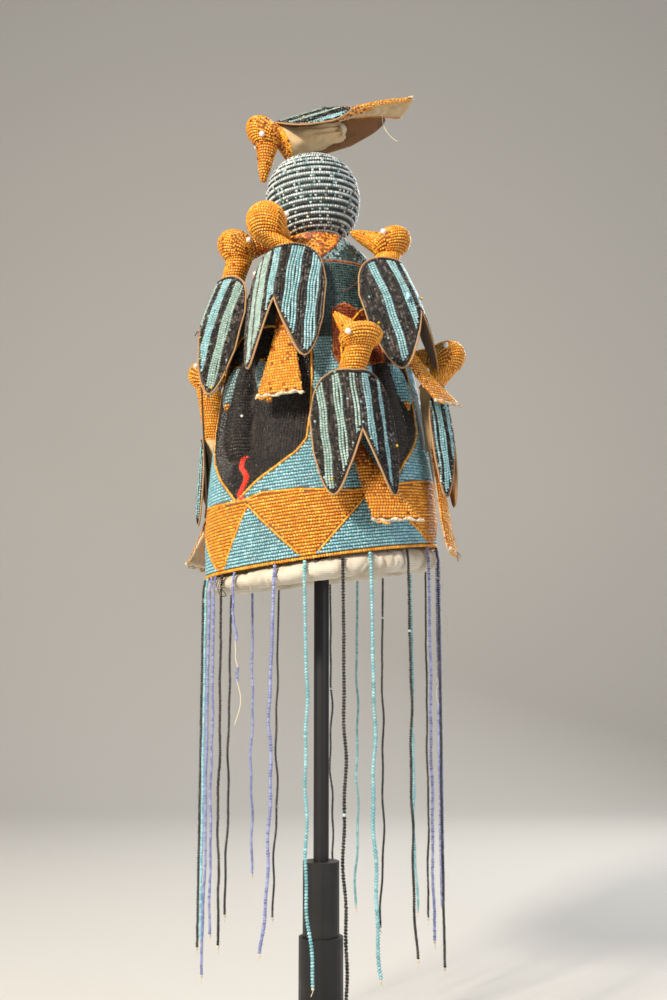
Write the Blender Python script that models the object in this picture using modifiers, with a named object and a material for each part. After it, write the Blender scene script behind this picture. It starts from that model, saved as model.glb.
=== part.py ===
"""A beaded crown on a plain display stand, in metres, with +Z up.

The origin is the middle of the stand's underside. The front faces -Y. Azimuths are measured
round the crown from its front, and are positive towards +X.
"""

import math
from bisect import bisect_right
from collections import namedtuple

import bmesh
import bpy
from mathutils import Vector

# Crown shell
RIM_HEIGHT = 0.450  # middle of the lower edge, above what the stand rests on
CROWN_HEIGHT = 0.314  # from there to the flat top that carries the ball
RIM_RADIUS = 0.109
SHELL_WALL = 0.003
SIDE_TILT = math.radians(7.8)  # the lower edge rises towards +X
FRONT_TILT = math.radians(2.6)  # and towards the back
LEAN = 0.018  # how far the crown leans to -X for each metre of height
GAP = 0.0003  # between pieces that touch

# Height share from the lower edge to the top, radius share of RIM_RADIUS
SHELL_PROFILE = (
    (0.00, 1.000),
    (0.10, 1.000),
    (0.20, 0.985),
    (0.32, 0.947),
    (0.42, 0.905),
    (0.52, 0.855),
    (0.62, 0.795),
    (0.71, 0.735),
    (0.80, 0.648),
    (0.88, 0.545),
    (0.94, 0.440),
    (1.00, 0.270),
)
SHELL_SIDES = 48

# Faces: the nose and the eyes are padded, and sewn to the shell
FACE_AZIMUTHS = (-44, 38, 130, -155)
NOSE_LENGTH = 0.118
NOSE_WIDTH = 0.033
NOSE_RELIEF = 0.014
NOSE_FOOT = 0.086  # height of its lower end above the middle of the lower edge
EYE_LENGTH = 0.040
EYE_WIDTH = 0.020
EYE_RELIEF = 0.006
EYE_HEIGHT = 0.154  # middle of an eye
EYE_ANGLE = math.radians(14)  # from the nose, round the crown
EYE_SLANT = 0.006  # how far its upper end leans to the nose
SEWN_DEPTH = 0.0015  # how deep a sewn pad is fused into the wall

# Length share upwards, half width share, relief share, slant share
NOSE_ROWS = (
    (0.00, 0.80, 0.55, 0.0),
    (0.10, 1.00, 1.00, 0.0),
    (0.45, 0.66, 0.80, 0.0),
    (0.80, 0.36, 0.45, 0.0),
    (1.00, 0.20, 0.20, 0.0),
)
EYE_ROWS = (
    (0.00, 0.25, 0.30, -1.0),
    (0.20, 0.80, 0.85, -0.6),
    (0.50, 1.00, 1.00, 0.0),
    (0.80, 0.80, 0.85, 0.6),
    (1.00, 0.25, 0.30, 1.0),
)

# Edge and roll
EDGE_THICKNESS = 0.0032
ROLL_THICKNESS = 0.022
ROLL_INSET = 0.001  # how far its outside stays inside the shell's
RING_POINTS = 32

# Ball
BALL_RADIUS = 0.0465
BALL_HEIGHT = 0.084
BALL_TILT = math.radians(5)
# Height share, radius share
BALL_PROFILE = (
    (0.00, 0.50),
    (0.07, 0.70),
    (0.20, 0.88),
    (0.36, 0.98),
    (0.52, 1.00),
    (0.68, 0.95),
    (0.82, 0.82),
    (0.92, 0.63),
    (0.98, 0.38),
)
BALL_SIDES = 24

# Birds
TORSO_LENGTH = 0.062
NECK_RADIUS = 0.0125
NECK_LENGTH = 0.020
HEAD_RADIUS = 0.0195
THROAT = 0.003  # from a head's rings to the crease that they turn about
BEAK_LENGTH = 0.038  # unless the shell is nearer
BEAK_STEP = 0.001
CAPE_LENGTH = 0.110
CAPE_HALF_WIDTH = 0.037
CAPE_DROP = 0.026  # from its ridge to its edge
CAPE_WALL = 0.003
CAPE_SPREAD = 0.008  # how much further out its tips stand than its shoulder
TAIL_LENGTH = 0.078
TAIL_HALF_WIDTH = 0.0225
TAIL_LIFT = 0.013
BODY_SIDES = 8

# Length share from the torso's rear end, half width share and half depth share of NECK_RADIUS,
# share of the belly's lift
TORSO_ROWS = (
    (0.00, 0.56, 0.48, 0.0),
    (0.30, 0.80, 0.56, 0.0),
    (0.70, 0.95, 0.66, 0.3),
    (1.00, 1.00, 0.88, 1.0),
)
# Share of the bend from the neck to the beak, share of HEAD_RADIUS
HEAD_ROWS = (
    (0.00, 0.66),
    (0.25, 0.92),
    (0.50, 1.00),
    (0.75, 0.86),
    (1.00, 0.60),
)
# Share of BEAK_LENGTH, share of HEAD_RADIUS
BEAK_ROWS = (
    (0.35, 0.46),
    (0.70, 0.33),
    (1.00, 0.17),
)
# Share of CAPE_HALF_WIDTH, then the upper and lower edge as shares of CAPE_LENGTH. From the second
# row on, each wing has a length of its own.
CAPE_OUTLINE = (
    (0.00, 0.01, 0.49),
    (0.35, 0.00, 0.78),
    (0.69, 0.06, 1.00),
    (0.88, 0.18, 0.90),
    (1.00, 0.36, 0.66),
)
CAPE_ROWS = 4
# Share of TAIL_LENGTH, half width share of TAIL_HALF_WIDTH, half depth share of NECK_RADIUS,
# share of TAIL_LIFT
TAIL_ROWS = (
    (0.00, 0.34, 0.48, 0.00),
    (0.25, 0.42, 0.44, 0.08),
    (0.62, 0.71, 0.40, 0.42),
    (1.00, 1.00, 0.32, 1.00),
)

# Angles in degrees. lift is the belly's above the shell, and reach is how far the neck leans out.
# Shares: shoulder of CROWN_HEIGHT, neck of NECK_LENGTH, aside of HEAD_RADIUS, width of
# CAPE_HALF_WIDTH, cape of CAPE_SPREAD, left_wing and right_wing of the cape's lower edge, tail of
# TAIL_LIFT, length of TAIL_LENGTH. A bird's heading, aside, yaw and swing are positive towards
# greater azimuths, the first three at its head and swing at its tail.
Bird = namedtuple(
    "Bird",
    "name azimuth shoulder heading lift neck reach bend aside yaw width cape left_wing right_wing"
    " swing tail length",
)
BIRDS = (
    Bird("upper_bird_1", -21, 0.898, -2, 0.003, 0.60, 0.008, 88, -0.9, 8,
         1.00, 1.0, 1.10, 1.05, 3, 1.0, 1.12),
    Bird("upper_bird_2", -72, 0.842, 2, 0.009, 1.10, -0.006, 72, 0.00, 0,
         1.10, 0.4, 0.70, 1.06, 0, 0.2, 0.58),
    Bird("upper_bird_3", 52, 0.873, -3, 0.010, 0.50, -0.002, 60, 0.40, 0,
         1.15, 0.8, 1.00, 0.92, 4, 2.4, 1.00),
    Bird("upper_bird_4", 145, 0.860, 3, 0.003, 0.80, 0.008, 80, 0.20, 0,
         1.00, -0.6, 1.00, 0.94, -4, 1.5, 1.00),
    Bird("upper_bird_5", -143, 0.850, 2, 0.003, 0.90, 0.008, 80, -0.30, 0,
         0.85, -0.4, 0.95, 1.02, 3, 2.2, 1.00),
    Bird("lower_bird_1", 15, 0.487, -2, 0.005, 1.10, 0.007, 40, 0.35, -19,
         1.00, 1.3, 1.00, 1.00, 23, 1.0, 0.88),
    Bird("lower_bird_2", 73, 0.506, 5, 0.003, 1.15, 0.008, 72, 1.00, 0,
         0.68, 0.0, 1.00, 1.00, -3, 1.1, 1.25),
    Bird("lower_bird_3", -113, 0.396, -2, 0.003, 2.70, 0.008, 70, 0.15, 0,
         0.88, -0.8, 0.80, 0.80, 0, 1.1, 0.80),
    Bird("lower_bird_4", 172, 0.455, 3, 0.003, 1.30, 0.008, 66, 0.10, 0,
         1.00, 1.0, 1.03, 0.97, -4, 1.0, 1.00),
)

# The bird on the ball is the same kind, with a fuller body
TOP_BIRD = Bird("top_bird", -76, 0.0, 0, 0.0, 0.20, 0.012, 58, 0.0, 0,
                1.08, -0.8, 0.62, 1.14, -6, -1.4, 0.92)
TOP_TAIL_LIFT = 0.014  # its tail is sewn high on the back of its bag
TOP_FULLNESS = (1.30, 1.80)  # of its torso's width and depth
TOP_PITCH = math.radians(27)  # its head is the lower end

# Veil: strings of beads on the lower edge. Azimuth in degrees, end of the string below the middle
# of the edge, thickness, and how far its lower end has swung towards greater azimuths
VEIL_REACH = 0.330
BEAD_THICKNESS = 0.0032
VEIL_SWING = 0.010
# Share of the string's height, share of its swing
VEIL_CURVE = ((0.00, 0.0), (0.35, 0.30), (0.70, 0.25), (1.00, 1.0))
Strand = namedtuple("Strand", "azimuth reach thickness swing colour")
VEIL = (
    Strand(-84, 1.04, 1.0, 0.4, "black"),
    Strand(-72, 1.01, 1.0, 0.2, "sky"),
    Strand(-65, 1.09, 1.0, -0.6, "violet"),
    Strand(-60, 0.98, 1.0, 0.3, "violet"),
    Strand(-53, 1.00, 1.0, 0.5, "black"),
    Strand(-44, 0.34, 1.0, 0.0, "violet"),
    Strand(-21, 1.00, 1.1, -0.9, "violet"),
    Strand(-7, 1.07, 1.2, 0.8, "turquoise"),
    Strand(10, 1.20, 1.2, 0.4, "black"),
    Strand(23, 1.06, 1.25, 0.7, "turquoise"),
    Strand(44, 1.03, 1.0, 0.6, "black"),
    Strand(61, 1.00, 1.1, 0.2, "violet"),
    Strand(77, 1.09, 1.0, 0.9, "black"),
    Strand(87, 0.92, 1.0, 1.0, "violet"),
    Strand(97, 0.95, 1.0, -0.3, "violet"),
    Strand(113, 1.00, 0.9, 0.3, "black"),
    Strand(127, 0.99, 1.0, -0.5, "turquoise"),
    Strand(146, 1.05, 0.9, 0.5, "black"),
    Strand(161, 1.00, 1.0, 0.3, "turquoise"),
    Strand(176, 0.87, 0.9, -0.4, "black"),
    Strand(-156, 1.03, 0.9, 0.5, "black"),
    Strand(-140, 0.90, 1.0, -0.4, "violet"),
    Strand(-125, 1.00, 1.0, 0.4, "black"),
)

# Stand
BASE_RADIUS = 0.120
BASE_THICKNESS = 0.010
BASE_BEVEL = 0.0015
POST_RADIUS = 0.007
SOCKET_RADIUS = 0.0165
SOCKET_TOP = 0.178
FOOT_RADIUS = 0.020
FOOT_TOP = 0.113
PAD_RADIUS = 0.015
PAD_THICKNESS = 0.012
POST_SIDES = 24

# Colours, linear RGB, and roughness
FINISHES = {
    "sky": ((0.21, 0.52, 0.64), 0.35),
    "orange": ((0.80, 0.24, 0.02), 0.35),
    "black": ((0.02, 0.02, 0.02), 0.30),
    "violet": ((0.25, 0.29, 0.60), 0.35),
    "turquoise": ((0.20, 0.56, 0.60), 0.35),
    "stripe": ((0.36, 0.60, 0.62), 0.40),
    "cotton": ((0.75, 0.70, 0.60), 0.90),
    "stand": ((0.01, 0.01, 0.01), 0.45),
}
TOP_HEIGHT = RIM_HEIGHT + CROWN_HEIGHT


def clear_scene():
    for thing in list(bpy.data.objects):
        bpy.data.objects.remove(thing, do_unlink=True)


def read(rows, share, column=1):
    """The value of a table's column on a smooth curve through its rows."""
    shares = [row[0] for row in rows]
    values = [row[column] for row in rows]
    last = len(rows) - 1
    start = min(max(bisect_right(shares, share) - 1, 0), last - 1)

    def slope(row):
        before = max(row - 1, 0)
        after = min(row + 1, last)
        return (values[after] - values[before]) / (shares[after] - shares[before])

    width = shares[start + 1] - shares[start]
    t = min(max((share - shares[start]) / width, 0.0), 1.0)
    rise = values[start + 1] - values[start]
    first = slope(start) * width
    second = slope(start + 1) * width
    return values[start] + t * (
        first + t * (3 * rise - 2 * first - second + t * (first + second - 2 * rise))
    )


def middle(height):
    """The crown's axis at a height."""
    return Vector((-LEAN * (height - RIM_HEIGHT), 0.0, height))


def outward(azimuth):
    return Vector((math.sin(azimuth), -math.cos(azimuth), 0.0))


def edge_height(azimuth):
    """Height of the shell's lower edge."""
    rise = math.tan(SIDE_TILT) * math.sin(azimuth) - math.tan(FRONT_TILT) * math.cos(azimuth)
    return RIM_HEIGHT + RIM_RADIUS * rise


def shell_radius(azimuth, height):
    foot = edge_height(azimuth)
    return RIM_RADIUS * read(SHELL_PROFILE, (height - foot) / (TOP_HEIGHT - foot))


def on_shell(azimuth, height, out=0.0):
    """A point this far outside the shell's surface."""
    return middle(height) + outward(azimuth) * (shell_radius(azimuth, height) + out)


def finish(name):
    if name in bpy.data.materials:
        return bpy.data.materials[name]
    colour, roughness = FINISHES[name]
    material = bpy.data.materials.new(name)
    material.use_nodes = True
    shader = material.node_tree.nodes["Principled BSDF"]
    shader.inputs["Base Color"].default_value = (*colour, 1.0)
    shader.inputs["Roughness"].default_value = roughness
    shader.inputs["Metallic"].default_value = 0.0
    return material


def add_object(name, data, colour, collection):
    made = bpy.data.objects.new(name, data)
    collection.objects.link(made)
    data.materials.append(finish(colour))
    return made


def mesh_of(name, points, faces):
    mesh = bpy.data.meshes.new(name)
    mesh.from_pydata([tuple(point) for point in points], [], faces)
    work = bmesh.new()
    work.from_mesh(mesh)
    bmesh.ops.recalc_face_normals(work, faces=work.faces)
    work.to_mesh(mesh)
    work.free()
    mesh.shade_smooth()
    return mesh


def loft(name, rings):
    """A closed mesh through rings that have as many points each, with flat ends."""
    count = len(rings[0])
    points = [point for ring in rings for point in ring]
    faces = [
        (start + i, start + (i + 1) % count, start + count + (i + 1) % count, start + count + i)
        for start in range(0, count * (len(rings) - 1), count)
        for i in range(count)
    ]
    faces.append(tuple(reversed(range(count))))
    faces.append(tuple(range(len(points) - count, len(points))))
    return mesh_of(name, points, faces)


def oval(centre, across, upright, sides=BODY_SIDES):
    """A ring of points round a centre, from two half axes."""
    turns = [2 * math.pi * i / sides for i in range(sides)]
    return [centre + across * math.cos(turn) + upright * math.sin(turn) for turn in turns]


def tube(name, points, thickness, colour, collection, closed=False):
    curve = bpy.data.curves.new(name, "CURVE")
    curve.dimensions = "3D"
    curve.bevel_depth = thickness / 2
    curve.bevel_resolution = 2
    curve.use_fill_caps = not closed
    spline = curve.splines.new("POLY")
    spline.points.add(len(points) - 1)
    for control, point in zip(spline.points, points):
        control.co = (*point, 1.0)
    spline.use_cyclic_u = closed
    return add_object(name, curve, colour, collection)


def turned(name, profile, sides, colour, collection):
    """A body turned about Z from (radius, height) pairs that run from its top to its bottom."""
    mesh = bpy.data.meshes.new(name)
    points = [(radius, 0.0, height) for radius, height in profile]
    mesh.from_pydata(points, [(i, i + 1) for i in range(len(points) - 1)], [])
    made = add_object(name, mesh, colour, collection)
    screw = made.modifiers.new("Turn", "SCREW")
    screw.steps = sides
    screw.render_steps = sides
    screw.use_merge_vertices = True
    screw.merge_threshold = 0.0001
    return made


def sewn_pad(name, azimuth, foot, length, half_width, relief, slant, rows, collection):
    """A padded relief on the shell, from a table of its sections."""
    rings = []
    for share, width_share, relief_share, slant_share in rows:
        height = foot + share * length
        radius = shell_radius(azimuth, height)
        half = width_share * half_width
        high = relief_share * relief
        section = ((-half, -SEWN_DEPTH), (-0.6 * half, 0.75 * high), (0.0, high),
                   (0.6 * half, 0.75 * high), (half, -SEWN_DEPTH), (0.0, -SEWN_DEPTH))
        rings.append([
            on_shell(azimuth + (aside + slant * slant_share) / radius, height, out)
            for aside, out in section
        ])
    pad = add_object(name, loft(name, rings), "black", collection)
    pad.hide_render = True
    pad.display_type = "WIRE"
    return pad


def face_pads(collection):
    pads = []
    for number, degrees in enumerate(FACE_AZIMUTHS, start=1):
        azimuth = math.radians(degrees)
        pads.append(sewn_pad(
            f"nose_{number}", azimuth, RIM_HEIGHT + NOSE_FOOT, NOSE_LENGTH,
            NOSE_WIDTH / 2, NOSE_RELIEF, 0.0, NOSE_ROWS, collection))
        for side, word in ((-1, "near"), (1, "far")):
            pads.append(sewn_pad(
                f"eye_{word}_{number}", azimuth + side * EYE_ANGLE,
                RIM_HEIGHT + EYE_HEIGHT - EYE_LENGTH / 2, EYE_LENGTH,
                EYE_WIDTH / 2, EYE_RELIEF, -side * EYE_SLANT, EYE_ROWS, collection))
    return pads


def crown_shell(parts, cutters):
    shares = [row[0] for row in SHELL_PROFILE]
    points = []
    for share in shares:
        for i in range(SHELL_SIDES):
            azimuth = 2 * math.pi * i / SHELL_SIDES
            foot = edge_height(azimuth)
            points.append(on_shell(azimuth, foot + share * (TOP_HEIGHT - foot)))
    points.append(middle(TOP_HEIGHT))
    faces = []
    for row in range(len(shares) - 1):
        for i in range(SHELL_SIDES):
            start = row * SHELL_SIDES
            after = (i + 1) % SHELL_SIDES
            faces.append((start + i, start + after,
                          start + SHELL_SIDES + after, start + SHELL_SIDES + i))
    last = (len(shares) - 1) * SHELL_SIDES
    for i in range(SHELL_SIDES):
        faces.append((last + i, last + (i + 1) % SHELL_SIDES, len(points) - 1))
    shell = add_object("crown_shell", mesh_of("crown_shell", points, faces), "sky", parts)
    wall = shell.modifiers.new("Wall", "SOLIDIFY")
    wall.thickness = SHELL_WALL
    wall.offset = -1.0
    wall.use_even_offset = True
    for pad in face_pads(cutters):
        join = shell.modifiers.new(pad.name, "BOOLEAN")
        join.operation = "UNION"
        join.solver = "EXACT"
        join.object = pad


def ring_round_edge(radius, below):
    """Points round the crown, this far under its lower edge."""
    points = []
    for i in range(RING_POINTS):
        azimuth = 2 * math.pi * i / RING_POINTS
        points.append(middle(edge_height(azimuth) - below) + outward(azimuth) * radius)
    return points


def edge_and_roll(parts):
    below = GAP + EDGE_THICKNESS / 2
    ring = ring_round_edge(RIM_RADIUS - EDGE_THICKNESS / 2, below)
    tube("edge_binding", ring, EDGE_THICKNESS, "orange", parts, closed=True)
    below = 2 * GAP + EDGE_THICKNESS + ROLL_THICKNESS / 2
    ring = ring_round_edge(roll_outside() - ROLL_THICKNESS / 2, below)
    tube("rim_roll", ring, ROLL_THICKNESS, "cotton", parts, closed=True)


def roll_outside():
    return RIM_RADIUS - ROLL_INSET


def ball_seat():
    """The middle of the ball's flat underside, which clears the shell's top as it tilts."""
    seat_radius = BALL_RADIUS * BALL_PROFILE[0][1]
    return middle(TOP_HEIGHT) + Vector((0.0, 0.0, GAP + seat_radius * math.sin(BALL_TILT)))


def ball_touch(direction):
    """The tilted ball's furthest point in a direction."""
    axis = Vector((-math.sin(BALL_TILT), 0.0, math.cos(BALL_TILT)))
    aside = (direction - axis * direction.dot(axis)).normalized()
    points = [
        ball_seat() + axis * share * BALL_HEIGHT + aside * radius * BALL_RADIUS
        for share, radius in BALL_PROFILE
    ]
    return max(points, key=direction.dot)


def ball(parts):
    profile = [(0.0, BALL_HEIGHT)]
    profile += [(radius * BALL_RADIUS, share * BALL_HEIGHT)
                for share, radius in reversed(BALL_PROFILE)]
    profile.append((0.0, 0.0))
    made = turned("ball", profile, BALL_SIDES, "stripe", parts)
    made.location = ball_seat()
    made.rotation_euler = (0.0, -BALL_TILT, 0.0)


class Perch:
    """Where a bird sits: three directions, and its middle line on what carries it.

    side points towards greater azimuths, up towards the head and out away from the carrier.
    """

    def __init__(self, bird, fullness=(1.0, 1.0)):
        self.bird = bird
        self.fullness = fullness
        self.tail_root = 0.0
        self.azimuth = math.radians(bird.azimuth)
        self.height = RIM_HEIGHT + bird.shoulder * CROWN_HEIGHT
        self.out = outward(self.azimuth)
        level = Vector((math.cos(self.azimuth), math.sin(self.azimuth), 0.0))
        heading = math.radians(bird.heading)
        self.side = level * math.cos(heading) - Vector((0.0, 0.0, math.sin(heading)))
        self.up = level * math.sin(heading) + Vector((0.0, 0.0, math.cos(heading)))
        self.level = level

    def foot(self, along):
        """The carrier's surface under the bird's middle line, this far towards the head."""
        step = self.up * along
        height = self.height + step.z
        aside = step.dot(self.level)
        radius = shell_radius(self.azimuth, height)
        reach = math.sqrt(max(radius * radius - aside * aside, 0.0))
        return middle(height) + self.level * aside + self.out * reach

    def beak_length(self, start, forward):
        """How long the beak is: it ends short of the shell."""
        length = BEAK_LENGTH
        while length > 0:
            tip = start + forward * length
            axis = middle(tip.z)
            tip_radius = HEAD_RADIUS * BEAK_ROWS[-1][1]
            azimuth = math.atan2(tip.x - axis.x, -tip.y)
            if (tip - axis).length > shell_radius(azimuth, tip.z) + 1.5 * tip_radius:
                return length
            length -= BEAK_STEP
        return BEAK_STEP


class BallPerch(Perch):
    """The bird on the ball faces its azimuth, with its head as the lower end."""

    def __init__(self, bird, fullness):
        super().__init__(bird, fullness)
        self.tail_root = TOP_TAIL_LIFT
        ahead = outward(self.azimuth)
        above = Vector((0.0, 0.0, 1.0))
        self.up = ahead * math.cos(TOP_PITCH) - above * math.sin(TOP_PITCH)
        self.out = above * math.cos(TOP_PITCH) + ahead * math.sin(TOP_PITCH)
        self.side = self.up.cross(self.out)
        self.start = ball_touch(self.out)

    def foot(self, along):
        return self.start + self.up * along

    def beak_length(self, start, forward):
        return BEAK_LENGTH


def torso_ring(perch, share):
    along = (share - 1.0) * TORSO_LENGTH
    half_width = read(TORSO_ROWS, share, 1) * NECK_RADIUS * perch.fullness[0]
    half_depth = read(TORSO_ROWS, share, 2) * NECK_RADIUS * perch.fullness[1]
    lift = read(TORSO_ROWS, share, 3) * perch.bird.lift + GAP
    centre = perch.foot(along) + perch.out * (lift + half_depth)
    return centre, perch.side * half_width, perch.out * half_depth


def head_rings(perch):
    """Rings of the neck, the head, which turn about the throat, and the beak."""
    bird = perch.bird
    neck_length = bird.neck * NECK_LENGTH
    shoulder = torso_ring(perch, 1.0)[0]
    neck_radius = HEAD_ROWS[0][1] * HEAD_RADIUS
    aside = bird.aside * HEAD_RADIUS
    neck_top = (shoulder + perch.up * neck_length + perch.side * aside
                + perch.out * bird.reach)
    throat = neck_top - perch.out * (THROAT + neck_radius)
    rings = []
    if neck_length > NECK_RADIUS:
        rings.append(((shoulder + neck_top) / 2, neck_radius, perch.side, perch.out))
    yaw = math.tan(math.radians(bird.yaw))
    for share, radius_share in HEAD_ROWS:
        turn = math.radians(bird.bend) * share
        radius = radius_share * HEAD_RADIUS
        upright = perch.out * math.cos(turn) + perch.up * math.sin(turn)
        centre = throat + upright * (THROAT + radius)
        rings.append((centre, radius, perch.side, upright))
    forward = perch.up * math.cos(turn) - perch.out * math.sin(turn)
    forward = (forward + perch.side * yaw).normalized()
    beak_length = perch.beak_length(centre, forward)
    for share, radius_share in BEAK_ROWS:
        radius = radius_share * HEAD_RADIUS
        tip = centre + forward * share * beak_length
        rings.append((tip, radius, perch.side, upright))
    return rings


def bird_body(perch, parts):
    rings = [oval(*torso_ring(perch, share)) for share, *_ in TORSO_ROWS]
    rings += [oval(centre, across * radius, upright * radius)
              for centre, radius, across, upright in head_rings(perch)]
    name = perch.bird.name + "_body"
    add_object(name, loft(name, rings), "orange", parts)


def wing_share(bird, across):
    """How long the cape is there: its two wings may be of different lengths."""
    both = (bird.left_wing + bird.right_wing) / 2
    wing = bird.right_wing if across > 0 else bird.left_wing
    return both + (wing - both) * min(abs(across) / CAPE_OUTLINE[1][0], 1.0)


def cape_point(perch, across, down):
    """A point of the cape's inner face, across and down it by shares of its size."""
    _, _, half_depth = torso_ring(perch, 1.0)
    ridge = perch.bird.lift + 2 * half_depth.length + 2 * GAP
    ridge += CAPE_SPREAD * perch.bird.cape * down
    across *= perch.bird.width
    lift = ridge - CAPE_DROP * abs(across) ** 1.5
    return (perch.foot(-down * CAPE_LENGTH) + perch.out * lift
            + perch.side * across * CAPE_HALF_WIDTH)


def bird_cape(perch, parts):
    halves = [(-share, upper, lower) for share, upper, lower in reversed(CAPE_OUTLINE[1:])]
    columns = halves + list(CAPE_OUTLINE)
    points = []
    for across, upper, lower in columns:
        lower *= wing_share(perch.bird, across)
        for row in range(CAPE_ROWS + 1):
            points.append(cape_point(perch, across, upper + (lower - upper) * row / CAPE_ROWS))
    step = CAPE_ROWS + 1
    faces = []
    for column in range(len(columns) - 1):
        for row in range(CAPE_ROWS):
            start = column * step + row
            faces.append((start, start + 1, start + step + 1, start + step))
    name = perch.bird.name + "_cape"
    mesh = bpy.data.meshes.new(name)
    mesh.from_pydata([tuple(point) for point in points], [], faces)
    mesh.shade_smooth()
    if mesh.polygons[0].normal.dot(perch.out) < 0:
        mesh.flip_normals()
    made = add_object(name, mesh, "stripe", parts)
    wall = made.modifiers.new("Wall", "SOLIDIFY")
    wall.thickness = CAPE_WALL
    wall.offset = 1.0
    wall.use_even_offset = True


def bird_tail(perch, parts):
    bird = perch.bird
    _, _, root_depth = torso_ring(perch, 0.0)
    swing = math.tan(math.radians(bird.swing))
    rings = []
    for share, width_share, depth_share, lift_share in TAIL_ROWS:
        behind = share * TAIL_LENGTH * bird.length
        half_width = width_share * TAIL_HALF_WIDTH
        half_depth = depth_share * NECK_RADIUS
        lift = GAP + root_depth.length + perch.tail_root + lift_share * TAIL_LIFT * bird.tail
        centre = (perch.foot(-TORSO_LENGTH - GAP - behind) + perch.out * lift
                  + perch.side * swing * behind)
        rings.append(oval(centre, perch.side * half_width, perch.out * half_depth))
    name = bird.name + "_tail"
    add_object(name, loft(name, rings), "orange", parts)


def add_bird(perch, parts):
    bird_body(perch, parts)
    bird_cape(perch, parts)
    bird_tail(perch, parts)


def veil_strand(number, strand, parts):
    azimuth = math.radians(strand.azimuth)
    thickness = strand.thickness * BEAD_THICKNESS
    level = Vector((math.cos(azimuth), math.sin(azimuth), 0.0))
    start = edge_height(azimuth) - 2 * GAP - EDGE_THICKNESS
    roll_middle = start - GAP - ROLL_THICKNESS / 2
    end = RIM_HEIGHT - strand.reach * VEIL_REACH
    hang = roll_outside() + GAP + thickness / 2
    seat = RIM_RADIUS - EDGE_THICKNESS / 4
    axis = middle(RIM_HEIGHT)
    points = [
        axis + outward(azimuth) * seat + Vector((0.0, 0.0, start - RIM_HEIGHT)),
        axis + outward(azimuth) * hang + Vector((0.0, 0.0, roll_middle - RIM_HEIGHT)),
    ]
    for share, swing_share in VEIL_CURVE[1:]:
        height = roll_middle + (end - roll_middle) * share - RIM_HEIGHT
        swing = level * swing_share * strand.swing * VEIL_SWING
        points.append(axis + outward(azimuth) * hang + swing + Vector((0.0, 0.0, height)))
    tube(f"veil_strand_{number:02d}", points, thickness, strand.colour, parts)


def stand(parts):
    base = [
        (0.0, BASE_THICKNESS),
        (BASE_RADIUS - BASE_BEVEL, BASE_THICKNESS),
        (BASE_RADIUS, BASE_THICKNESS - BASE_BEVEL),
        (BASE_RADIUS, 0.0),
        (0.0, 0.0),
    ]
    turned("stand_base", base, 2 * POST_SIDES, "stand", parts)
    top = TOP_HEIGHT - SHELL_WALL - GAP
    post = [
        (0.0, top),
        (PAD_RADIUS, top),
        (PAD_RADIUS, top - PAD_THICKNESS),
        (POST_RADIUS, top - PAD_THICKNESS),
        (POST_RADIUS, SOCKET_TOP),
        (SOCKET_RADIUS, SOCKET_TOP),
        (SOCKET_RADIUS, FOOT_TOP),
        (FOOT_RADIUS, FOOT_TOP),
        (FOOT_RADIUS, BASE_THICKNESS + GAP),
        (0.0, BASE_THICKNESS + GAP),
    ]
    turned("stand_post", post, POST_SIDES, "stand", parts)


def main():
    clear_scene()
    parts = bpy.data.collections.new("beaded_crown")
    cutters = bpy.data.collections.new("joined_shapes")
    bpy.context.scene.collection.children.link(parts)
    bpy.context.scene.collection.children.link(cutters)
    crown_shell(parts, cutters)
    edge_and_roll(parts)
    ball(parts)
    for bird in BIRDS:
        add_bird(Perch(bird), parts)
    add_bird(BallPerch(TOP_BIRD, TOP_FULLNESS), parts)
    for number, strand in enumerate(VEIL, start=1):
        veil_strand(number, strand, parts)
    stand(parts)


main()
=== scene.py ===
"""A beaded crown on a plain display stand: its cloth, beads, threads and paint.

Lengths are in metres, with +Z up and the front facing -Y. Azimuths are measured round the crown
from its front and are positive towards +X. Heights on the shell are above its lower edge.
"""

import math
from collections import namedtuple

import bmesh
import bpy
import numpy as np
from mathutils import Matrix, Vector, kdtree


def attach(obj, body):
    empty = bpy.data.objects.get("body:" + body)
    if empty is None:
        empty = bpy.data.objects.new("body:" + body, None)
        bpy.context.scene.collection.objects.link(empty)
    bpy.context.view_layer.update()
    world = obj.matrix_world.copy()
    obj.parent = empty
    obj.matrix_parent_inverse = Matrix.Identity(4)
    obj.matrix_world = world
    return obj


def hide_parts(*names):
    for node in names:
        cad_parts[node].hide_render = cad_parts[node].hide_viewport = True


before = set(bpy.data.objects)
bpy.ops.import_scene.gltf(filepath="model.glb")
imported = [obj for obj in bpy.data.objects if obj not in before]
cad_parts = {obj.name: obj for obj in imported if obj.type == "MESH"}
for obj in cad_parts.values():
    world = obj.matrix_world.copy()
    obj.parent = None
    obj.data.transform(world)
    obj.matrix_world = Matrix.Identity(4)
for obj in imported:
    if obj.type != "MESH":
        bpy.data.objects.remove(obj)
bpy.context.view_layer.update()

chance = np.random.default_rng(5)

# Crown shell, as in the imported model
RIM_HEIGHT = 0.450
CROWN_HEIGHT = 0.314
TOP_HEIGHT = RIM_HEIGHT + CROWN_HEIGHT
RIM_RADIUS = 0.109
SHELL_WALL = 0.003
SIDE_TILT = math.radians(7.8)  # of the lower edge, up to the right
FRONT_TILT = math.radians(2.6)  # of the lower edge, up to the back
LEAN = 0.018  # of the cone to the left, as a slope
GAP = 0.0003  # between solids that touch on the real one
# Height share from the lower edge to the top, radius share of RIM_RADIUS
SHELL_PROFILE = (
    (0.00, 1.000),
    (0.10, 1.000),
    (0.20, 0.985),
    (0.32, 0.947),
    (0.42, 0.905),
    (0.52, 0.855),
    (0.62, 0.795),
    (0.71, 0.735),
    (0.80, 0.648),
    (0.88, 0.545),
    (0.94, 0.440),
    (1.00, 0.270),
)

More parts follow.
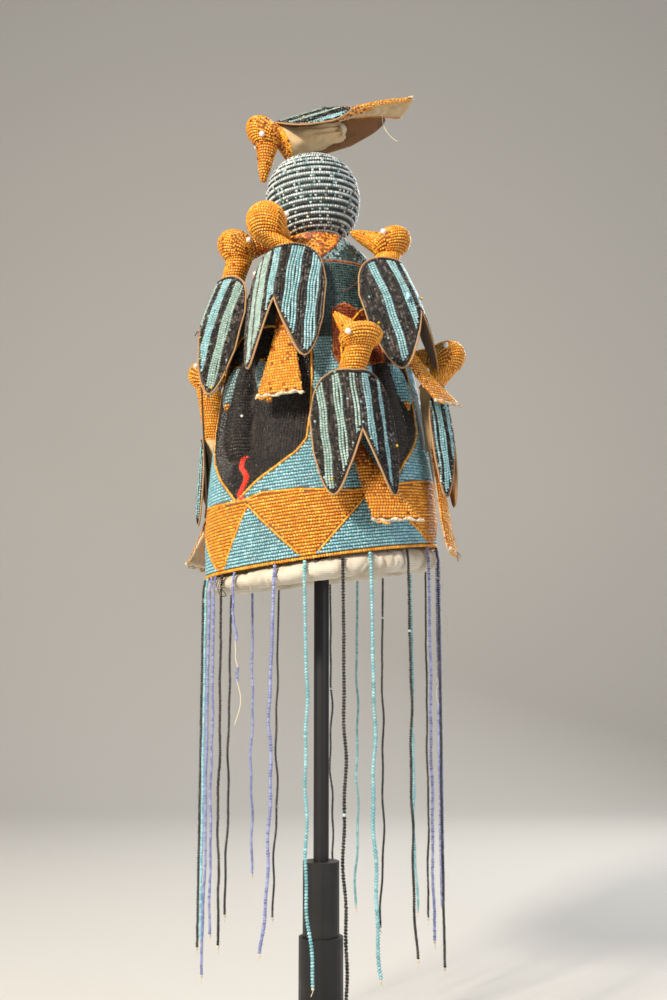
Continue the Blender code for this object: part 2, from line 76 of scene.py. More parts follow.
# Faces
FACE_AZIMUTHS = (-44, 38, 130, -155)
NOSE_LENGTH = 0.118
NOSE_WIDTH = 0.033
NOSE_RELIEF = 0.014
NOSE_FOOT = 0.086  # above the middle of the lower edge
EYE_LENGTH = 0.040
EYE_WIDTH = 0.020
EYE_RELIEF = 0.006
EYE_HEIGHT = 0.154
EYE_ANGLE = math.radians(14)
EYE_SLANT = 0.006
PAD_END = 0.007  # how far past its ends a pad falls to the shell
PAD_SHOULDER = 2.7  # how square a pad is in section
# Length share upwards, half width share, relief share, slant share
NOSE_ROWS = (
    (0.00, 0.80, 0.55, 0.0),
    (0.10, 1.00, 1.00, 0.0),
    (0.45, 0.66, 0.80, 0.0),
    (0.80, 0.36, 0.45, 0.0),
    (1.00, 0.20, 0.20, 0.0),
)
EYE_ROWS = (
    (0.00, 0.25, 0.30, -1.0),
    (0.20, 0.80, 0.85, -0.6),
    (0.50, 1.00, 1.00, 0.0),
    (0.80, 0.80, 0.85, 0.6),
    (1.00, 0.25, 0.30, 1.0),
)
# Height on the shell, then how far the face reaches to its left and right of the nose's middle
FACE_OUTLINE = (
    (0.059, 0.000, 0.003),
    (0.074, 0.016, 0.026),
    (0.082, 0.026, 0.042),
    (0.093, 0.037, 0.061),
    (0.103, 0.047, 0.069),
    (0.130, 0.061, 0.070),
    (0.160, 0.066, 0.068),
    (0.185, 0.061, 0.064),
    (0.205, 0.044, 0.046),
    (0.218, 0.020, 0.022),
    (0.222, 0.000, 0.000),
)
FACE_SPREAD = (1.0, 0.6, 0.95, 1.0)  # of the outline's two sides, face by face
MOUTH_SHIFTS = (0.0, -0.019, 0.0, 0.003)  # sideways; the second one is hidden by a wing
# The red mouth line: height on the shell, then how far right of the nose's middle
MOUTH_LINE = (
    (0.0580, 0.0095),
    (0.0635, 0.0050),
    (0.0700, 0.0090),
    (0.0775, 0.0125),
    (0.0835, 0.0095),
    (0.0885, 0.0052),
    (0.0930, 0.0065),
    (0.0965, 0.0115),
)

# Pattern of the shell: azimuth in degrees, height on the shell
ZIGZAG = (
    (-112, 0.000), (-90, 0.053), (-55, 0.000), (-36, 0.053), (-5.4, 0.000), (23, 0.048),
    (69, 0.000), (100, 0.052), (130, 0.000), (160, 0.052), (190, 0.000), (218, 0.052),
    (248, 0.000),
)
ZIGZAG_TIP = 0.006  # how far each tip is cut off
BAND_TOP = (
    (-100, 0.060), (-80, 0.061), (-38, 0.0575), (-28, 0.061), (-9, 0.058), (16, 0.051),
    (60, 0.056), (100, 0.058), (160, 0.059), (220, 0.060), (260, 0.060),
)
COLLAR = (
    (-110, 0.284), (-64, 0.304), (-30, 0.304), (4, 0.281), (38, 0.304), (80, 0.302),
    (120, 0.283), (160, 0.304), (210, 0.304), (250, 0.284),
)
SHADED_TEAL_FROM = 0.62  # as a share of the shell's height, which is how its rows run; above it the beads are teal, darkened as painted shade
RUST_ROW = 0.872  # the single dark orange row
EYE_COLOURS = ("grey_blue", "light_blue", "grey_blue", "light_blue")  # face by face
ODD_FACE_BEAD = (-38.6, 0.133)  # the white one on a face: azimuth in degrees, height on the shell
# The dark red patch: azimuth in degrees, height on the shell
RED_PATCH = (
    (10, 0.223), (19, 0.227), (34, 0.213), (40, 0.191), (37, 0.166), (14, 0.164), (9.5, 0.178),
    (10, 0.223),
)

# Edge and roll
EDGE_THICKNESS = 0.0032
ROLL_THICKNESS = 0.022
ROLL_INSET = 0.001

# Ball
BALL_RADIUS = 0.0465
BALL_HEIGHT = 0.084
BALL_TILT = math.radians(5)
# Height share, radius share
BALL_PROFILE = (
    (0.00, 0.50),
    (0.07, 0.70),
    (0.20, 0.88),
    (0.36, 0.98),
    (0.52, 1.00),
    (0.68, 0.95),
    (0.82, 0.82),
    (0.92, 0.63),
    (0.98, 0.38),
    (1.00, 0.00),
)

# Birds
TORSO_LENGTH = 0.062
NECK_RADIUS = 0.0125
NECK_LENGTH = 0.020
HEAD_RADIUS = 0.0195
THROAT = 0.003
BEAK_LENGTH = 0.038
BEAK_STEP = 0.001
CAPE_LENGTH = 0.110
CAPE_HALF_WIDTH = 0.037
CAPE_DROP = 0.026  # how far it falls to its sides
CAPE_ROUNDING = 1.5  # power of the distance aside by which it falls
CAPE_SPREAD = 0.008
TAIL_LENGTH = 0.078
TAIL_HALF_WIDTH = 0.0225
TAIL_LIFT = 0.013
# Length share, half width share, half depth share, share of the belly's lift
TORSO_ROWS = (
    (0.00, 0.56, 0.48, 0.0),
    (0.30, 0.80, 0.56, 0.0),
    (0.70, 0.95, 0.66, 0.3),
    (1.00, 1.00, 0.88, 1.0),
)
# Share of the bend, share of HEAD_RADIUS
HEAD_ROWS = (
    (0.00, 0.66),
    (0.25, 0.92),
    (0.50, 1.00),
    (0.75, 0.86),
    (1.00, 0.60),
)
# Share of BEAK_LENGTH, share of HEAD_RADIUS
BEAK_ROWS = (
    (0.00, 0.60),
    (0.35, 0.46),
    (0.70, 0.33),
    (1.00, 0.17),
)
# Share of CAPE_HALF_WIDTH, upper and lower edge as shares of CAPE_LENGTH
CAPE_OUTLINE = (
    (0.00, 0.01, 0.49),
    (0.35, 0.00, 0.78),
    (0.69, 0.06, 1.00),
    (0.88, 0.18, 0.90),
    (1.00, 0.36, 0.66),
)
# Share of TAIL_LENGTH, half width share, half depth share, share of TAIL_LIFT
TAIL_ROWS = (
    (0.00, 0.34, 0.48, 0.00),
    (0.25, 0.42, 0.44, 0.08),
    (0.62, 0.71, 0.40, 0.42),
    (1.00, 1.00, 0.32, 1.00),
)
# left and right are the colours of the cape's rows from its middle outwards: k is black, p is
# pale blue, g is pale green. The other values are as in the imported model.
Bird = namedtuple(
    "Bird",
    "name azimuth shoulder heading lift neck reach bend aside yaw width cape left_wing right_wing"
    " swing tail length left right",
)
BIRDS = (
    Bird("upper_bird_1", -21, 0.898, -2, 0.003, 0.60, 0.008, 88, -0.9, 8,
         1.00, 1.0, 1.10, 1.05, 3, 1.0, 1.12, "pppkkgggkggk", "kkkppppkkkpppk"),
    Bird("upper_bird_2", -72, 0.842, 2, 0.009, 1.10, -0.006, 72, 0.00, 0,
         1.10, 0.4, 0.70, 1.06, 0, 0.2, 0.58, "ppkkpppkkppkkppk", "gkkkpppkkkgggkkk"),
    Bird("upper_bird_3", 52, 0.873, -3, 0.010, 0.50, -0.002, 60, 0.40, 0,
         1.15, 0.8, 1.00, 0.92, 4, 2.4, 1.00, "kkpppkkkkppkkkkk", "pppkkkpppkkkppkk"),
    Bird("upper_bird_4", 145, 0.860, 3, 0.003, 0.80, 0.008, 80, 0.20, 0,
         1.00, -0.6, 1.00, 0.94, -4, 1.5, 1.00, "kkpppkkkgggkkk", "pppkkpppkkkggk"),
    Bird("upper_bird_5", -143, 0.850, 2, 0.003, 0.90, 0.008, 80, -0.30, 0,
         0.85, -0.4, 0.95, 1.02, 3, 2.2, 1.00, "kgggkkkpppkkk", "kppkkkgggkkpk"),
    Bird("lower_bird_1", 15, 0.487, -2, 0.005, 1.10, 0.007, 40, 0.35, -19,
         1.00, 1.3, 1.00, 1.00, 23, 1.0, 0.88, "ggkkkggkkkggkk", "kkpppkkkppkkkk"),
    Bird("lower_bird_2", 73, 0.506, 5, 0.003, 1.15, 0.008, 72, 1.00, 0,
         0.68, 0.0, 1.00, 1.00, -3, 1.1, 1.25, "kppkkppkpp", "kkggkkppkk"),
    Bird("lower_bird_3", -113, 0.396, -2, 0.003, 2.70, 0.008, 70, 0.15, 0,
         0.88, -0.8, 0.80, 0.80, 0, 1.1, 0.80, "kpppkkkppkkk", "kkppkkppkkpk"),
    Bird("lower_bird_4", 172, 0.455, 3, 0.003, 1.30, 0.008, 66, 0.10, 0,
         1.00, 1.0, 1.03, 0.97, -4, 1.0, 1.00, "pppkkkgggkkkpp", "kkpppkkkpppkkk"),
)
TOP_BIRD = Bird("top_bird", -76, 0.0, 0, 0.0, 0.20, 0.012, 58, 0.0, 0,
                1.08, -0.8, 0.62, 1.14, -6, -1.4, 0.92, "kkkggkkkggkkkppkk", "kkppkkppkkppkkppk")
TOP_TAIL_LIFT = 0.014  # its tail is sewn high on the back of its bag
TOP_FULLNESS = (1.30, 1.80)
TOP_PITCH = math.radians(27)

# Veil
VEIL_REACH = 0.330
BEAD_THICKNESS = 0.0032
VEIL_SWING = 0.010
VEIL_CURVE = ((0.00, 0.0), (0.35, 0.30), (0.70, 0.25), (1.00, 1.0))
Strand = namedtuple("Strand", "azimuth reach thickness swing finish")
VEIL = [Strand(*row) for row in (
    (-84, 1.04, 1.0, 0.4, "black"),
    (-72, 1.01, 1.0, 0.2, "light_blue"),
    (-65, 1.09, 1.0, -0.6, "periwinkle"),
    (-60, 0.98, 1.0, 0.3, "periwinkle"),
    (-53, 1.00, 1.0, 0.5, "black"),
    (-44, 0.34, 1.0, 0.0, "periwinkle"),
    (-21, 1.00, 1.1, -0.9, "periwinkle"),
    (-7, 1.07, 1.2, 0.8, "turquoise"),
    (10, 1.20, 1.2, 0.4, "black"),
    (23, 1.06, 1.25, 0.7, "turquoise"),
    (44, 1.03, 1.0, 0.6, "black"),
    (61, 1.00, 1.1, 0.2, "periwinkle"),
    (77, 1.09, 1.0, 0.9, "black"),
    (87, 0.92, 1.0, 1.0, "periwinkle"),
    (97, 0.95, 1.0, -0.3, "periwinkle"),
    (113, 1.00, 0.9, 0.3, "black"),
    (127, 0.99, 1.0, -0.5, "turquoise"),
    (146, 1.05, 0.9, 0.5, "black"),
    (161, 1.00, 1.0, 0.3, "turquoise"),
    (176, 0.87, 0.9, -0.4, "black"),
    (-156, 1.03, 0.9, 0.5, "black"),
    (-140, 0.90, 1.0, -0.4, "periwinkle"),
    (-125, 1.00, 1.0, 0.4, "black"),
)]

# Beads
BEAD_RADIUS = 0.0013  # of a seed bead sewn in rows
ROW_PITCH = 0.0028  # between rows
STRIPE_PITCH = 0.0025  # between the rows that the capes' colours are listed for
BEAD_STEP = 0.0024  # along a row
LINE_STEP = 0.92 * BEAD_STEP  # along a couched line, which is strung tighter
ROW_START = (0.1, 0.9)  # where a row's first bead may sit, in steps from its start
CROWDED = 0.8  # a row needs at least this share of its pitch
LEAST_RING = 1.2 * BEAD_RADIUS  # a smaller ring takes no row
BEAD_TILT = 0.13  # how unevenly beads sit on their thread, as a slope
BEAD_JITTER = 0.0001  # how unevenly they stand on the cloth
BEAD_SPREAD = 0.05  # how much their thickness varies, as a share
BEAD_SIZES = (0.88, 1.1)  # thinner and thicker ones are sorted out
TONE_SPREAD = (0.7, 1.0)  # more beads of a lot are dark than light
SEAT = 0.0013  # depth of the cloth, and of a sewn bead's middle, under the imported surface
LINE_LIFT = 0.0004  # how far a couched line stands above the rows beside it
CLOTH_WALL = 0.0011
CLOTH_PITCH = 0.0034  # between a stuffed cloth's rings of points

MATERIALS = {}
FINISH = "<U12"  # an array of finishes' names


def vector(x, y, z):
    return np.stack(np.broadcast_arrays(x, y, z), axis=-1).astype(float)


def unit(directions):
    return directions / np.linalg.norm(directions, axis=-1, keepdims=True)


def even_turns(count):
    """Angles all the way round, at equal steps."""
    return np.linspace(0, 2 * math.pi, count, endpoint=False)


def read(rows, share, column=1):
    """A table's column on a smooth curve through its rows, at one share or at many."""
    shares, values = np.array([(row[0], row[column]) for row in rows], float).T
    slopes = np.empty(len(rows))
    slopes[1:-1] = (values[2:] - values[:-2]) / (shares[2:] - shares[:-2])
    slopes[0] = (values[1] - values[0]) / (shares[1] - shares[0])
    slopes[-1] = (values[-1] - values[-2]) / (shares[-1] - shares[-2])
    start = np.clip(np.searchsorted(shares, share, side="right") - 1, 0, len(rows) - 2)
    width = shares[start + 1] - shares[start]
    t = np.clip((share - shares[start]) / width, 0, 1)
    rise = values[start + 1] - values[start]
    first = slopes[start] * width
    second = slopes[start + 1] * width
    return values[start] + t * (
        first + t * (3 * rise - 2 * first - second + t * (first + second - 2 * rise))
    )


def straight(rows, share, column=1):
    """A table's column on straight lines through its rows."""
    table = np.array([(row[0], row[column]) for row in rows], float)
    return np.interp(share, table[:, 0], table[:, 1])


# Surface of the shell

def middle(height):
    return vector(-LEAN * (np.asarray(height) - RIM_HEIGHT), 0.0, height)


def outward(azimuth):
    return vector(np.sin(azimuth), -np.cos(azimuth), 0.0)


def sideways(azimuth):
    return vector(math.cos(azimuth), math.sin(azimuth), 0.0)


def edge_height(azimuth):
    rise = math.tan(SIDE_TILT) * np.sin(azimuth) - math.tan(FRONT_TILT) * np.cos(azimuth)
    return RIM_HEIGHT + RIM_RADIUS * rise


def shell_radius(azimuth, height):
    foot = edge_height(azimuth)
    return RIM_RADIUS * read(SHELL_PROFILE, (height - foot) / (TOP_HEIGHT - foot))


def turn_from(azimuth, centre):
    """The signed angle from one azimuth to another, the short way round."""
    return (azimuth - centre + math.pi) % (2 * math.pi) - math.pi


Pad = namedtuple("Pad", "azimuth foot length half_width relief slant rows")


def face_pads():
    pads = []
    for degrees in FACE_AZIMUTHS:
        azimuth = math.radians(degrees)
        pads.append(Pad(azimuth, RIM_HEIGHT + NOSE_FOOT, NOSE_LENGTH, NOSE_WIDTH / 2,
                        NOSE_RELIEF, 0.0, NOSE_ROWS))
        for side in (-1, 1):
            pads.append(Pad(azimuth + side * EYE_ANGLE, RIM_HEIGHT + EYE_HEIGHT - EYE_LENGTH / 2,
                            EYE_LENGTH, EYE_WIDTH / 2, EYE_RELIEF, -side * EYE_SLANT, EYE_ROWS))
    return pads


def on_pad(pad, azimuth, height):
    """Length share upwards, and how far aside as a share of the pad's half width there."""
    share = (height - pad.foot) / pad.length
    inside = np.clip(share, 0, 1)
    half = read(pad.rows, inside, 1) * pad.half_width
    lean = pad.slant * read(pad.rows, inside, 3)
    aside = turn_from(azimuth, pad.azimuth) * shell_radius(azimuth, height) - lean
    return share, aside / half


def relief(azimuth, height):
    """How far the sewn pads lift the beadwork off the cone."""
    highest = np.zeros(np.broadcast(azimuth, height).shape)
    for pad in PADS:
        share, aside = on_pad(pad, azimuth, height)
        inside = np.clip(share, 0, 1)
        past = np.clip(np.abs(share - inside) * pad.length / PAD_END, 0, 1)
        high = read(pad.rows, inside, 2) * pad.relief * (1 - past * past * (3 - 2 * past))
        lifted = high * np.clip(1 - np.abs(aside) ** PAD_SHOULDER, 0, None)
        highest = np.maximum(highest, lifted)
    return highest


def skin(azimuth, height, out=0.0):
    """A point of the shell with its padded faces, this far outside it."""
    reach = shell_radius(azimuth, height) + relief(azimuth, height) + out
    return middle(height) + outward(azimuth) * reach[..., None]


def skin_normal(azimuth, height):
    step = 0.0005
    round_it = skin(azimuth + step / RIM_RADIUS, height) - skin(azimuth - step / RIM_RADIUS, height)
    upwards = skin(azimuth, height + step) - skin(azimuth, height - step)
    return unit(np.cross(round_it, upwards))


PADS = face_pads()


# Meshes

Part = namedtuple("Part", "points faces finish tones")


def part(points, faces, finish, tones=0.0):
    """Some points with faces of one finish. A tone from -1 to 1 darkens or lightens it."""
    points = np.asarray(points, float).reshape(-1, 3)
    return Part(points, np.asarray(faces, int), finish, np.zeros(len(points)) + tones)


def sheet_part(points, finish, closed=False):
    """A grid of points, rows by columns, as one sheet. A closed one joins its last column to
    its first."""
    rows, columns = points.shape[:2]
    index = np.arange(rows * columns).reshape(rows, columns)
    after = np.roll(index, -1, axis=1) if closed else index[:, 1:]
    here = index if closed else index[:, :-1]
    faces = np.stack([here[:-1], after[:-1], after[1:], here[1:]], axis=-1).reshape(-1, 4)
    return part(points, faces, finish)


def cap_part(ring, finish):
    """A flat face over a ring of points."""
    return part(ring, [list(range(len(ring)))], finish)


def closed_parts(rings, finish):
    """A sheet round rings of points, with a cap on each end."""
    return [sheet_part(rings, finish, closed=True), cap_part(rings[0][::-1], finish),
            cap_part(rings[-1], finish)]


def tube_part(points, radius, finish, sides=6, closed=False):
    """A round thread or cord through points, with flat ends unless it is closed. It may have a
    radius for each point."""
    points = np.asarray(points, float)
    radius = np.broadcast_to(radius, len(points))[:, None, None]
    if closed:
        ahead = np.roll(points, -1, axis=0) - np.roll(points, 1, axis=0)
    else:
        ahead = np.gradient(points, axis=0)
    ahead = unit(ahead)
    across = np.empty_like(points)
    last = np.cross(ahead[0], (0.31, 0.17, 0.93))  # a direction that no thread starts in
    for i, direction in enumerate(ahead):
        last = last - direction * last.dot(direction)
        last = last / np.linalg.norm(last)
        across[i] = last
    upright = np.cross(ahead, across)
    turns = even_turns(sides)
    rings = (points[:, None] + radius * (np.cos(turns)[:, None] * across[:, None]
                                         + np.sin(turns)[:, None] * upright[:, None]))
    if closed:
        return [sheet_part(np.concatenate([rings, rings[:1]]), finish, closed=True)]
    return closed_parts(rings, finish)


WELD = 1e-6  # points of closed cloth that are nearer than this are one


def make_object(name, parts, outside_up=False):
    """One object from its parts. outside_up turns the faces of closed cloth outwards."""
    mesh = bpy.data.meshes.new(name)
    finishes = sorted({one.finish for one in parts})
    for finish in finishes:
        mesh.materials.append(MATERIALS[finish])
    offsets = np.cumsum([0] + [len(one.points) for one in parts])
    corners = [(one.faces + offset).ravel() for one, offset in zip(parts, offsets)]
    sizes = np.concatenate([np.full(len(one.faces), one.faces.shape[1]) for one in parts])
    slots = np.concatenate([np.full(len(one.faces), finishes.index(one.finish)) for one in parts])
    points = np.concatenate([one.points for one in parts])
    corners = np.concatenate(corners)
    mesh.vertices.add(len(points))
    mesh.vertices.foreach_set("co", points.astype(np.float32).ravel())
    mesh.loops.add(len(corners))
    mesh.loops.foreach_set("vertex_index", corners.astype(np.int32))
    mesh.polygons.add(len(sizes))
    starts = np.concatenate([[0], np.cumsum(sizes)[:-1]])
    mesh.polygons.foreach_set("loop_start", starts.astype(np.int32))
    mesh.polygons.foreach_set("material_index", slots.astype(np.int32))
    mesh.update(calc_edges=True)
    tone = mesh.attributes.new("tone", "FLOAT", "POINT")
    tone.data.foreach_set("value", np.concatenate([one.tones for one in parts]).astype(np.float32))
    if outside_up:
        work = bmesh.new()
        work.from_mesh(mesh)
        bmesh.ops.remove_doubles(work, verts=work.verts, dist=WELD)
        bmesh.ops.recalc_face_normals(work, faces=work.faces)
        work.to_mesh(mesh)
        work.free()
    mesh.shade_smooth()
    made = bpy.data.objects.new(name, mesh)
    bpy.context.scene.collection.objects.link(made)
    return made


def make_piece(name, parts, slot=None, outside_up=False):
    """An object that belongs to the part. Its slot is not used."""
    piece = make_object(name, parts, outside_up)
    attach(piece, "root")
    return piece


# Beads

BARREL = ((-0.90, 0.55), (0.0, 1.0), (0.90, 0.55))  # share of half the length, share of the radius
SEWN_TURNS = np.radians((-108, -38, 38, 108))  # a sewn bead's back lies in the cloth
STRUNG_TURNS = np.radians(np.arange(6) * 60)


def bead_parts(points, along, normals, finishes, radius=BEAD_RADIUS, length=BEAD_STEP,
               strung=False):
    """Glass beads whose holes lie along the thread. Each takes its own finish."""
    count = len(points)
    if not count:
        return []
    turns = STRUNG_TURNS if strung else SEWN_TURNS
    along = unit(along)
    normals = unit(normals - along * (normals * along).sum(-1, keepdims=True))
    aside = np.cross(normals, along)
    along = unit(along + chance.normal(0, BEAD_TILT, (count, 3)))
    size = chance.normal(1.0, BEAD_SPREAD, count).clip(*BEAD_SIZES)
    points = points + normals * chance.normal(0, BEAD_JITTER, count)[:, None]
    tones = 2 * chance.beta(*TONE_SPREAD, count) - 1
    ends = np.array(BARREL)
    shape_along = np.repeat(ends[:, 0], len(turns)) * length / 2
    shape_aside = np.outer(ends[:, 1], np.sin(turns)).ravel() * radius
    shape_out = np.outer(ends[:, 1], np.cos(turns)).ravel() * radius
    made = (points[:, None]
            + along[:, None] * shape_along[:, None]
            + aside[:, None] * shape_aside[:, None] * size[:, None, None]
            + normals[:, None] * shape_out[:, None] * size[:, None, None])
    index = np.arange(len(shape_along)).reshape(len(ends), len(turns))
    after = np.roll(index, -1, axis=1) if strung else index[:, 1:]
    here = index if strung else index[:, :-1]
    faces = np.stack([here[:-1], here[1:], after[1:], after[:-1]], axis=-1).reshape(-1, 4)
    finishes = np.broadcast_to(np.asarray(finishes), (count,))
    parts = []
    for finish in np.unique(finishes):
        chosen = np.flatnonzero(finishes == finish)
        offsets = np.arange(len(chosen)) * len(shape_along)
        parts.append(part(made[chosen], (faces[None] + offsets[:, None, None]).reshape(-1, 4),
                          str(finish), np.repeat(tones[chosen], len(shape_along))))
    return parts


def lengths_along(points):
    """How far along a line each of its points is."""
    steps = np.linalg.norm(np.diff(points, axis=0), axis=1)
    return np.concatenate([[0], np.cumsum(steps)])


def spaced(points, step, margin=0.5, closed=False):
    """Where beads of this length sit on a line of points, counted in points from its first. The
    first bead is this margin from the line's start, in beads."""
    if closed:
        points = np.concatenate([points, points[:1]])
    lengths = lengths_along(points)
    count = int(lengths[-1] / step)
    if count < 1:
        return np.empty(0)
    at = (np.arange(count) + margin) * lengths[-1] / count
    return np.interp(at, lengths, np.arange(len(points)))


def at_places(points, places, closed=False):
    """A line's points, or what else is listed for them, at places that spaced gives."""
    if closed:
        points = np.concatenate([points, points[:1]])
    index = np.arange(len(points))
    return np.stack([np.interp(places, index, column) for column in points.T], axis=-1)


def resampled(points, count):
    """The line again, with this many points at equal distances."""
    lengths = lengths_along(points)
    at = np.linspace(0, lengths[-1], count)
    return np.stack([np.interp(at, lengths, column) for column in points.T], axis=-1)


# Birds' places

TIP_CLEARANCE = 1.5  # least distance between a beak's tip and the shell, in radii of the tip


class Perch:
    """Where a bird sits: three directions, and its middle line on what carries it."""

    bead_reach = (8, 8)  # degrees that beads go round a tail's sides, near its root and its end
    tail_lining = "cream"

    def __init__(self, bird, fullness=(1.0, 1.0)):
        self.bird = bird
        self.fullness = fullness
        self.belly_lift = bird.lift
        self.tail_root = 0.0
        self.azimuth = math.radians(bird.azimuth)
        self.height = RIM_HEIGHT + bird.shoulder * CROWN_HEIGHT
        self.out = outward(self.azimuth)
        self.level = sideways(self.azimuth)
        heading = math.radians(bird.heading)
        self.side = self.level * math.cos(heading) - vector(0, 0, math.sin(heading))
        self.up = self.level * math.sin(heading) + vector(0, 0, math.cos(heading))

    def foot(self, along):
        """Points of the shell on the bird's middle line, this far up from its shoulder."""
        along = np.asarray(along, float)[..., None]
        step = self.up * along
        height = self.height + step[..., 2]
        aside = (step * self.level).sum(-1)
        radius = shell_radius(self.azimuth, height)
        reach = np.sqrt(np.clip(radius * radius - aside * aside, 0, None))
        return middle(height) + self.level * aside[..., None] + self.out * reach[..., None]

    def beak_length(self, start, forward):
        """The longest beak whose tip clears the shell."""
        length = BEAK_LENGTH
        tip_radius = HEAD_RADIUS * BEAK_ROWS[-1][1]
        while length > 0:
            tip = start + forward * length
            axis = middle(tip[2])
            azimuth = math.atan2(tip[0] - axis[0], -tip[1])
            clear = shell_radius(azimuth, tip[2]) + TIP_CLEARANCE * tip_radius
            if np.linalg.norm(tip - axis) > clear:
                return length
            length -= BEAK_STEP
        return BEAK_STEP


class BallPerch(Perch):
    """The place of the bird on the ball. It faces its azimuth, and its head is lower."""

    bead_reach = (62, 36)
    tail_lining = "beige"

    def __init__(self, bird, fullness):
        super().__init__(bird, fullness)
        self.tail_root = TOP_TAIL_LIFT
        ahead = outward(self.azimuth)
        above = vector(0, 0, 1)
        self.up = ahead * math.cos(TOP_PITCH) - above * math.sin(TOP_PITCH)
        self.out = above * math.cos(TOP_PITCH) + ahead * math.sin(TOP_PITCH)
        self.side = np.cross(self.up, self.out)
        self.start = ball_touch(self.out)

    def foot(self, along):
        return self.start + self.up * np.asarray(along, float)[..., None]

    def beak_length(self, start, forward):
        return BEAK_LENGTH


def ball_seat():
    rise = GAP + BALL_RADIUS * BALL_PROFILE[0][1] * math.sin(BALL_TILT)
    return middle(TOP_HEIGHT) + vector(0, 0, rise)


def ball_axis():
    return vector(-math.sin(BALL_TILT), 0.0, math.cos(BALL_TILT))


def ball_touch(direction):
    """The point of the ball that is farthest in a direction."""
    axis = ball_axis()
    aside = unit(direction - axis * direction.dot(axis))
    points = [ball_seat() + axis * share * BALL_HEIGHT + aside * radius * BALL_RADIUS
              for share, radius in BALL_PROFILE]
    return max(points, key=direction.dot)


Rings = namedtuple("Rings", "centres across upright")


def joined(*several):
    return Rings(*(np.concatenate(arrays) for arrays in zip(*several)))


def ring_points(rings, turns, shrink=0.0):
    """Points on oval rings, which are made this much smaller."""
    across = rings.across * (1 - shrink / np.linalg.norm(rings.across, axis=1, keepdims=True))
    upright = rings.upright * (1 - shrink / np.linalg.norm(rings.upright, axis=1, keepdims=True))
    return (rings.centres[:, None] + np.cos(turns)[..., None] * across[:, None]
            + np.sin(turns)[..., None] * upright[:, None])


def torso_depth(perch, share):
    return read(TORSO_ROWS, share, 2) * NECK_RADIUS * perch.fullness[1]


def torso_rings(perch, shares):
    shares = np.asarray(shares, float)
    half_width = read(TORSO_ROWS, shares, 1) * NECK_RADIUS * perch.fullness[0]
    half_depth = torso_depth(perch, shares)
    lift = read(TORSO_ROWS, shares, 3) * perch.belly_lift + GAP
    centres = perch.foot((shares - 1) * TORSO_LENGTH) + perch.out * (lift + half_depth)[:, None]
    return Rings(centres, perch.side * half_width[:, None], perch.out * half_depth[:, None])


def head_rings(perch, pitch):
    """Rings of the neck, the head and the beak."""
    bird = perch.bird
    shoulder = torso_rings(perch, [1.0])
    neck_length = bird.neck * NECK_LENGTH
    neck_top = (shoulder.centres[0] + perch.up * neck_length
                + perch.side * bird.aside * HEAD_RADIUS + perch.out * bird.reach)
    head = bent_rings(perch, neck_top, pitch)
    return neck_rings(perch, shoulder, neck_top, pitch), head, beak_rings(perch, head, pitch)


def neck_rings(perch, shoulder, neck_top, pitch):
    radius = HEAD_ROWS[0][1] * HEAD_RADIUS
    count = max(2, round(np.linalg.norm(neck_top - shoulder.centres[0]) / pitch))
    shares = np.linspace(0, 1, count, endpoint=False)[:, None]
    return Rings(
        shoulder.centres[0] * (1 - shares) + neck_top * shares,
        shoulder.across[0] * (1 - shares) + perch.side * radius * shares,
        shoulder.upright[0] * (1 - shares) + perch.out * radius * shares,
    )


def bent_rings(perch, neck_top, pitch):
    """Rings of the head, which turn about the throat."""
    throat = neck_top - perch.out * (THROAT + HEAD_ROWS[0][1] * HEAD_RADIUS)
    bend = math.radians(perch.bird.bend)
    shares = np.linspace(0, 1, 100)
    crest = THROAT + 2 * read(HEAD_ROWS, shares) * HEAD_RADIUS
    crest = vector(np.sin(bend * shares) * crest, 0.0, np.cos(bend * shares) * crest)
    lengths = lengths_along(crest)
    count = max(6, round(lengths[-1] / pitch))
    shares = np.interp(np.linspace(0, lengths[-1], count), lengths, shares)
    turns = (bend * shares)[:, None]
    radii = (read(HEAD_ROWS, shares) * HEAD_RADIUS)[:, None]
    upright = perch.out * np.cos(turns) + perch.up * np.sin(turns)
    return Rings(throat + upright * (THROAT + radii), perch.side * radii, upright * radii)


def beak_rings(perch, head, pitch):
    """Rings of the beak, which goes on from the head and points to one side."""
    bend = math.radians(perch.bird.bend)
    forward = perch.up * math.cos(bend) - perch.out * math.sin(bend)
    forward = unit(forward + perch.side * math.tan(math.radians(perch.bird.yaw)))
    length = perch.beak_length(head.centres[-1], forward)
    shares = np.linspace(0, 1, max(3, round(length / pitch)) + 1)[1:]
    radii = (read(BEAK_ROWS, shares) * HEAD_RADIUS)[:, None]
    upright = perch.out * np.cos(bend) + perch.up * np.sin(bend)
    return Rings(head.centres[-1] + forward * (shares * length)[:, None], perch.side * radii,
                 upright * radii)


def tail_rings(perch, pitch):
    bird = perch.bird
    length = TAIL_LENGTH * bird.length
    shares = np.linspace(0, 1, round(length / pitch) + 1)
    root_depth = torso_depth(perch, 0.0)
    behind = shares * length
    half_width = read(TAIL_ROWS, shares, 1) * TAIL_HALF_WIDTH
    half_depth = read(TAIL_ROWS, shares, 2) * NECK_RADIUS
    lift = GAP + root_depth + perch.tail_root + read(TAIL_ROWS, shares, 3) * TAIL_LIFT * bird.tail
    swing = math.tan(math.radians(bird.swing))
    centres = (perch.foot(-TORSO_LENGTH - GAP - behind) + perch.out * lift[:, None]
               + perch.side * swing * behind[:, None])
    return Rings(centres, perch.side * half_width[:, None], perch.out * half_depth[:, None])


RING_TURNS = even_turns(72)
ALL_ROUND = (-2 * math.pi, 2 * math.pi)


